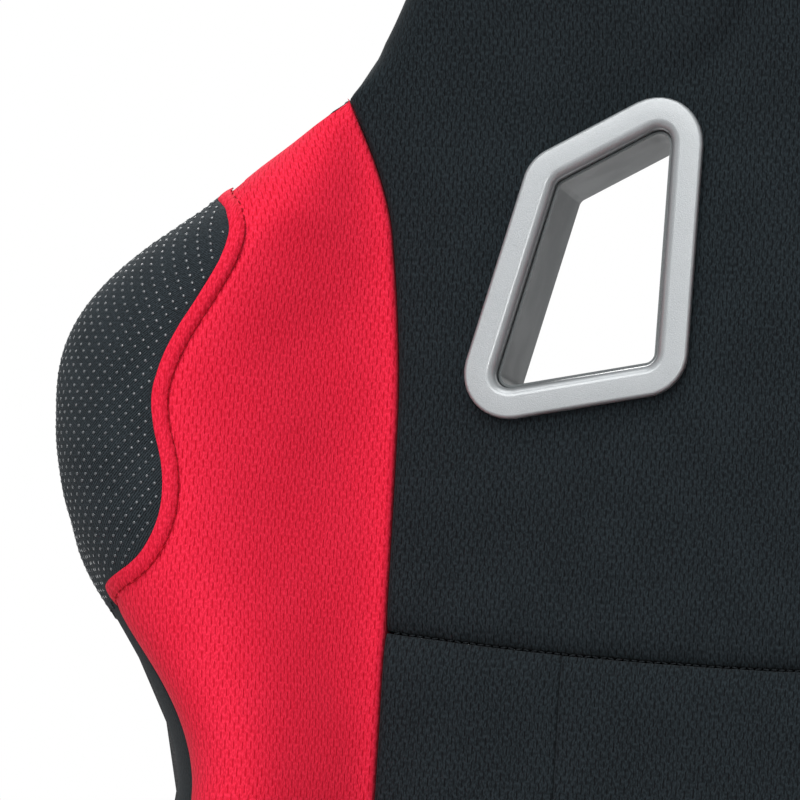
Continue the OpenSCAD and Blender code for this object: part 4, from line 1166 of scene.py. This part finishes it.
def slot_plate(name, height):
    """One face with the slot's outline and round corners, at a height in mm."""
    bpy.ops.object.select_all(action="DESELECT")
    bpy.ops.mesh.primitive_plane_add(size=.1, location=(0, 0, height / 1000))
    piece = bpy.context.object
    piece.name = piece.data.name = name
    bpy.ops.object.transform_apply(location=True, rotation=False, scale=False)
    bpy.ops.object.mode_set(mode="EDIT")
    bpy.ops.mesh.select_mode(type="VERT")
    centre_x, centre_y = sum(x for x, _ in SLOT) / 4, sum(v for _, v in SLOT) / 4
    bpy.ops.mesh.select_all(action="SELECT")
    bpy.ops.transform.translate(value=(centre_x / 1000, centre_y / 1000, 0))
    for k, (x, v) in enumerate(SLOT):
        bpy.ops.mesh.select_all(action="DESELECT")
        edit = bmesh.from_edit_mesh(piece.data)
        edit.verts.ensure_lookup_table()
        corner = edit.verts[(0, 1, 3, 2)[k]]
        corner.select_set(True)
        move = (x / 1000 - corner.co.x, v / 1000 - corner.co.y, 0)
        bmesh.update_edit_mesh(piece.data)
        bpy.ops.transform.translate(value=move)
    for k, (x, v) in enumerate(SLOT):
        (xa, va), (xb, vb) = SLOT[k - 1], SLOT[(k + 1) % 4]
        turn = math.atan2(vb - v, xb - x) - math.atan2(va - v, xa - x)
        half = abs((turn + math.pi) % (2 * math.pi) - math.pi) / 2
        bulge = 1 - 1 / (2 * (1 + math.sin(half)))
        bpy.ops.mesh.select_all(action="DESELECT")
        edit = bmesh.from_edit_mesh(piece.data)
        corner = min(edit.verts, key=lambda p: math.hypot(p.co.x - x / 1000, p.co.y - v / 1000))
        corner.select_set(True)
        bmesh.update_edit_mesh(piece.data)
        bpy.ops.mesh.bevel(offset=SLOT_RADIUS / 1000 / math.tan(half), segments=ROUND_STEPS,
                           profile=bulge**2, affect="VERTICES", clamp_overlap=False)
    bpy.ops.mesh.select_mode(type="FACE")
    bpy.ops.mesh.select_all(action="SELECT")
    return piece


def inset(width):
    """Insets the selected face by a width in mm."""
    bpy.ops.mesh.inset(thickness=width / 1000, use_even_offset=True)


def extrude(rise):
    """Extrudes the selected face up by a rise in mm."""
    bpy.ops.mesh.extrude_region_move(TRANSFORM_OT_translate={"value": (0, 0, rise / 1000)})


def round_loop(piece, name, radius, steps):
    """Bevels a kept loop of edges to a round of a radius in mm."""
    pick_loops(piece, name)
    bpy.ops.mesh.bevel(offset=radius / 1000, segments=steps, affect="EDGES", clamp_overlap=False)


def to_back(piece, sign):
    """Stands a piece that was modelled flat up on the backrest, and mirrors it for the left."""
    columns = [(1, 0, 0), (0, math.sin(LEAN), math.cos(LEAN)), (0, -math.cos(LEAN), math.sin(LEAN))]
    turn = Matrix([[columns[c][r] for c in range(3)] for r in range(3)]).to_4x4()
    turn.translation = (0, HINGE_Y / 1000, HINGE_Z / 1000)
    piece.matrix_world = turn @ Matrix.Diagonal((sign, 1, 1, 1))
    only(piece)
    bpy.ops.object.transform_apply(location=True, rotation=True, scale=True)
    if sign < 0:
        bpy.ops.object.mode_set(mode="EDIT")
        bpy.ops.mesh.select_all(action="SELECT")
        bpy.ops.mesh.flip_normals()
        bpy.ops.object.mode_set(mode="OBJECT")
    bpy.ops.object.shade_smooth_by_angle(angle=math.radians(35))
    bpy.ops.object.modifier_add(type="WEIGHTED_NORMAL")
    piece.modifiers[-1].keep_sharp = True
    bpy.ops.object.modifier_apply(modifier=piece.modifiers[-1].name)


def finish_bezel(piece, sign, paint, node):
    """Turns the faces of a modelled bezel out, and puts it on the backrest in its paint."""
    bpy.ops.mesh.select_all(action="SELECT")
    bpy.ops.mesh.normals_make_consistent(inside=False)
    bpy.ops.object.mode_set(mode="OBJECT")
    to_back(piece, sign)
    piece.data.materials.append(paint)
    print(piece.name, len(piece.data.polygons), "faces")
    place(piece, "backrest", "silver_paint", node)


# %% Front bezel: rim, rolled edge and throat
FACE = 11.7          # mm from the bezel's outer edge to its throat
THROAT_WALL = 2.3    # mm
RIM_FOOT, RIM_HIGH = 36.3, 3.7       # mm: the rim's underside, and its thickness
THROAT = 16          # mm from the rim's front down to the throat's end


def front_bezel(side, sign):
    """The bezel's rim and the throat behind it, on the front of the backrest."""
    piece = slot_plate("front_bezel_" + side + "_rolled", RIM_FOOT)
    extrude(RIM_HIGH)
    keep_loop(piece, "rim")
    inset(FACE)
    keep_loop(piece, "roll")
    extrude(-THROAT)
    keep_loop(piece, "throat_inside")
    bpy.ops.mesh.delete(type="ONLY_FACE")
    pick_face(piece, RIM_FOOT / 1000, upward=False)
    inset(FACE - THROAT_WALL)
    extrude(RIM_HIGH - THROAT)
    keep_loop(piece, "throat_outside")
    bpy.ops.mesh.delete(type="ONLY_FACE")
    pick_loops(piece, "throat_inside", "throat_outside")
    bpy.ops.mesh.bridge_edge_loops()
    round_loop(piece, "roll", 3.7, 7)
    round_loop(piece, "rim", 1.3, 3)
    finish_bezel(piece, sign, silver_paint, "front_bezel_" + side)


for side, sign in SIDES:
    front_bezel(side, sign)


# %% Rear bezel: flange behind the cover, and the long sleeve
FLANGE_BACK, FLANGE = -20.3, 3       # mm: the flange's rear face, and its thickness
SLEEVE, SLEEVE_WALL, SLIDING = 50.3, 1.2, .2     # mm: its length, its wall, and its play in the throat


def rear_bezel(side, sign):
    """The flange on the rear cover and the sleeve that runs forward into the front bezel."""
    piece = slot_plate("rear_bezel_" + side + "_sleeve", FLANGE_BACK)
    extrude(FLANGE)
    inset(FACE + SLIDING)
    extrude(SLEEVE)
    keep_loop(piece, "lip_outside")
    inset(SLEEVE_WALL)
    keep_loop(piece, "lip_inside")
    bpy.ops.mesh.delete(type="ONLY_FACE")
    pick_face(piece, FLANGE_BACK / 1000, upward=False)
    keep_loop(piece, "back_rim")
    inset(FACE + SLIDING + SLEEVE_WALL)
    keep_loop(piece, "mouth")
    bpy.ops.mesh.delete(type="ONLY_FACE")
    pick_loops(piece, "lip_inside", "mouth")
    bpy.ops.mesh.bridge_edge_loops()
    round_loop(piece, "mouth", 2.5, 5)
    round_loop(piece, "back_rim", 2, 4)
    round_loop(piece, "lip_outside", .4, 2)
    # The rear bezel wears the darker copy of the silver paint: painted shade inside its sleeve.
    finish_bezel(piece, sign, sleeve_painted_shade, "rear_bezel_" + side)


for side, sign in SIDES:
    rear_bezel(side, sign)

# %% [markdown]
# ## The seat cushion
#
# The cushion is sewn like the backrest: a black thigh panel that turns down over the front, a
# black seat panel behind it, and a red bolster along each side. One line from the bottom of
# the front wall, over the nose and back gives the rows, and each panel adds its own crown.

# %% The cushion's long line
NOSE = [(-333, 106), (-334, 128), (-334.6, 143), (-338, 160), (-337, 181), (-329.5, 204),
        (-313, 224.5), (-293, 233.5), (-274.2, 237), (-245, 235.8), (-205, 231.8), (-150, 226),
        (-100, 220.3), (-50, 214), (0, 208), (40, 203.6), (70, 199), (90, 193.5), (102, 187.5)]
BOLSTER = [(-334.2, 4, .3), (-280, 32, .4), (-200, 46, .1), (-120, 48, -.05), (0, 28, -.3),
           (60, 12, -.2), (95, 3, -.2)]
TOP_LINE = [(-334.2, 188, 2.2), (-312.2, 226, .9), (-274.2, 237, .05), (-150, 226, -.12),
            (0, 208, -.1), (70, 199, -.2), (102, 186, -.9)]
FRONT_Y = -334.2                     # mm, the front wall of the cushion
FOOT_Z, UNDER_Z = 106, 104           # mm: where the front wall starts, and the pads' underside
CROSS_SEAM_Y = -150
PANEL_SIDE, BOLSTER_SIDE = 147.9, 148.3     # mm from the middle to each side of their seam
OUTER_X, BOLSTER_END = 250, 95       # mm: the bolsters' outer side and rear end
nose_line = smooth_line(NOSE, 1.0)
nose_way = way_through(nose_line)
at_seam = float(nose_way[np.argmin(np.abs(nose_line[:, 0] - CROSS_SEAM_Y))])
print("cushion line:", round(nose_way[-1]), "mm, cross seam at", round(at_seam))


def cushion_rows(start, stop, count):
    """Rows along the long line: the way, y, z and how far the full section has grown."""
    way = spread(start, stop, count)
    y, z = (np.interp(way, nose_way, nose_line[:, k]) for k in (0, 1))
    full = curve(TOP_LINE, np.maximum(y, FRONT_Y))
    grown = np.clip((z - FOOT_Z) / (full - FOOT_Z), 0, 1)
    return way[:, None], y[:, None], z[:, None], grown[:, None]


def in_metres(x, y, z):
    """Grids of places in mm as one grid of points in metres."""
    x, y, z = np.broadcast_arrays(x, y, z)
    return np.stack([x, y, z], -1) / 1000


# %% Thigh and seat panels
def cushion_panel(name, start, stop, count, crown, node):
    """A black panel of the cushion between the two bolsters."""
    way, y, z, _ = cushion_rows(start, stop, count)
    x = spread(np.full(way.shape[0], -PANEL_SIDE), np.full(way.shape[0], PANEL_SIDE), 110)
    side = PANEL_SIDE - np.abs(x)
    share = (way - start) / (stop - start)
    front = start < 1
    drop = roll(side, 4, 4) + 1.1 * np.exp(-side / 9)
    if front:
        drop = drop + roll(stop - way, 6, 5) + 1.2 * np.exp(-(stop - way) / 9)
    else:
        drop = drop + roll(stop - way, 22, 24) + roll(way - start, 6, 5) + 1.2 * np.exp(-(way - start) / 9)
    lift = crown * (1 - (x / 148) ** 2) * np.sin(math.pi * np.clip(share, 0, 1)) ** .8
    lift = lift + uneven(x, way, 105, .4)
    slope = np.gradient(z[:, 0]) / np.hypot(np.gradient(y[:, 0]), np.gradient(z[:, 0]))
    level = np.sqrt(np.clip(1 - slope**2, 0, 1))[:, None]
    front_points = in_metres(x, y - (lift - drop) * slope[:, None], z + (lift - drop) * level)
    back_points = in_metres(x, np.clip(y + 0 * x, -332, 101), UNDER_Z + 0 * x)
    back_points[..., 2] = np.minimum(back_points[..., 2], front_points[..., 2] - .001)
    piece = slab(name, front_points, back_points, pair(x, way), black_knit)
    return place(piece, "seat_base", "black_knit", node, fill=.85)


cushion_panel("thigh_cover", 0, at_seam - .3, 90, 3, "cushion_thigh_pad")
cushion_panel("seat_cover", at_seam + .3, float(nose_way[-1]), 84, 4, "cushion_seat_pad")


# %% Bolsters
CORNER_RADIUS = 40                   # mm, the outer front corner seen from above


def bolster(side, sign):
    """The red bolster of one side, from its seam over the crest and down to the skirt."""
    way, y, z, grown = cushion_rows(0, float(np.interp(BOLSTER_END, nose_line[:, 0], nose_way)), 150)
    into = np.where(z < 150, 0, np.clip(y - FRONT_Y, 0, CORNER_RADIUS))
    corner = CORNER_RADIUS - np.sqrt(CORNER_RADIUS**2 - (CORNER_RADIUS - into) ** 2)
    a, b = BOLSTER_SIDE, OUTER_X - corner
    c = a + .6 * (b - a)
    high = curve(BOLSTER, y) * grown
    rim = FOOT_Z + 46 * grown
    s, t = np.linspace(0, 1, 60)[None], np.linspace(0, math.pi / 2, 60)[None, 1:]
    foot = np.linspace(0, 1, 12)[None, 1:]
    x = np.concatenate([a + (c - a) * s, c + (b - c) * np.sin(t), b - 3.9 * foot + 0 * b], 1)
    top = z + high
    low = np.minimum(rim, top)
    height = np.concatenate([z + high * (.5 - .5 * np.cos(math.pi * s)),
                             top - (top - low) * (1 - np.cos(t)),
                             low - 10 * foot * grown], 1)
    run = way_over(x, height)
    stops = spread(run[:, 0], run[:, -1], 56)
    x = np.array([np.interp(p, q, r) for p, q, r in zip(stops, run, x)])
    height = np.array([np.interp(p, q, r) for p, q, r in zip(stops, run, height)])
    drop = roll(stops, 4, 4) + 1.1 * np.exp(-stops / 9) + roll(way[-1] - way, 16, 14)
    hills = uneven(stops + 30 * sign, way, 85, .45)
    height = np.maximum(height - drop * np.clip(grown * 2, 0, 1) + hills * grown, 104.5)
    y = y + 0 * x
    bottom = in_metres(sign * np.clip(x, BOLSTER_SIDE, 246), np.clip(y, -333, BOLSTER_END), UNDER_Z + 0 * x)
    piece = slab("bolster_cover_" + side, in_metres(sign * x, y, height), bottom, pair(stops, way), red_knit)
    return place(piece, "seat_base", "red_knit", "cushion_bolster_" + side, fill=.9)


for side, sign in SIDES:
    bolster(side, sign)

# %% [markdown]
# ## Moulded covers and levers
#
# The plastic pieces have their right form in the model, but moulded plastic has no sharp
# edges. A copy of each mesh is merged into whole faces, and its edges are rounded, so that
# they catch a thin line of light.

# %% Rounded copies of the plastic pieces
def rounded(node, body, width, limit=30):
    """A copy of a node's mesh with clean faces and rounded edges, which stands for the node."""
    piece = bpy.data.objects.new(node + "_moulded", frame["nodes"][node].data.copy())
    bpy.context.collection.objects.link(piece)
    only(piece)
    bpy.ops.object.mode_set(mode="EDIT")
    bpy.ops.mesh.select_all(action="SELECT")
    bpy.ops.mesh.remove_doubles(threshold=1e-5)
    bpy.ops.mesh.dissolve_limited(angle_limit=math.radians(.5))
    bpy.ops.object.mode_set(mode="OBJECT")
    edge = piece.modifiers.new("edge", "BEVEL")
    edge.width = width / 1000
    edge.segments = 3
    edge.limit_method = "ANGLE"
    edge.angle_limit = math.radians(limit)
    bpy.ops.object.modifier_apply(modifier="edge")
    bpy.ops.object.shade_smooth_by_angle(angle=math.radians(38))
    print(piece.name, len(piece.data.polygons), "faces")
    return place(piece, body, "black_plastic", node)


rounded("rear_cover", "backrest", 1.2, 25)
rounded("cushion_skirt", "seat_base", 1.0)
for side, _ in SIDES:
    rounded("side_cover_" + side, "seat_base", .5)
    rounded("recliner_lever_" + side, "recliner_release", 1.6)

# %% [markdown]
# ## The crown of the rear cover
#
# At the top of the head the rear cover closes over the foam. The shell there is one smooth
# cap: its section is the cover's own, carried round the two rounded corners in even steps of
# angle, and then drawn in to close the top. Its lowest rows dive into the cover, so it ends
# in a shallow line across the back of the head.

# %% The crown
BEHIND = [(0, 12), (0, 5), (0, -1), (5, -10), (11, -13.6), (18, -15.5)]     # mm in from the side, forward
CAP_OUT, CAP_IN = .6, -1.4           # mm from the cover's own section to the cap's two faces


def cover_section(half, swell):
    """The rear cover's section: from the right lip round the back to the left lip."""
    right = [(half - inward, n) for inward, n in BEHIND] + [(half * share, -16.4) for share in (.62, .4, .2)]
    line = np.array(right + [(0, -17)] + [(-x, n) for x, n in right[::-1]])
    away = np.gradient(line, axis=0)[:, ::-1] * [-1, 1]
    away /= np.linalg.norm(away, axis=1, keepdims=True)
    return line - away * swell * np.sign((away * line).sum())


crown_rows = [(v, float(half_width(v)), 1) for v in (676, 681, 686, 691)]
for angle in np.linspace(0, 90, 16):
    v = TOP - CORNER + CORNER * math.sin(math.radians(angle))
    crown_rows.append((v, HEAD - CORNER + CORNER * math.cos(math.radians(angle)), 1))
crown_rows += [(TOP + .5, HEAD - CORNER - 1, .98), (TOP + .6, HEAD - CORNER, .6),
               (TOP + .6, HEAD - CORNER, .15)]
outer, inner = [], []
for v, half, share in crown_rows:
    line = cover_section(half, CAP_OUT * min(1, (v - 682) / 6)) * share
    outer.append(on_back(line[:, 0], line[:, 1], v))
    line = cover_section(half, CAP_IN) * share
    inner.append(on_back(line[:, 0], line[:, 1], v - 1.2))
outer, inner = np.array(outer), np.array(inner)
crown = slab("rear_cover_crown", outer, inner, outer[..., [0, 2]] * 1000, black_plastic)
place(crown, "backrest", "black_plastic", "rear_cover")
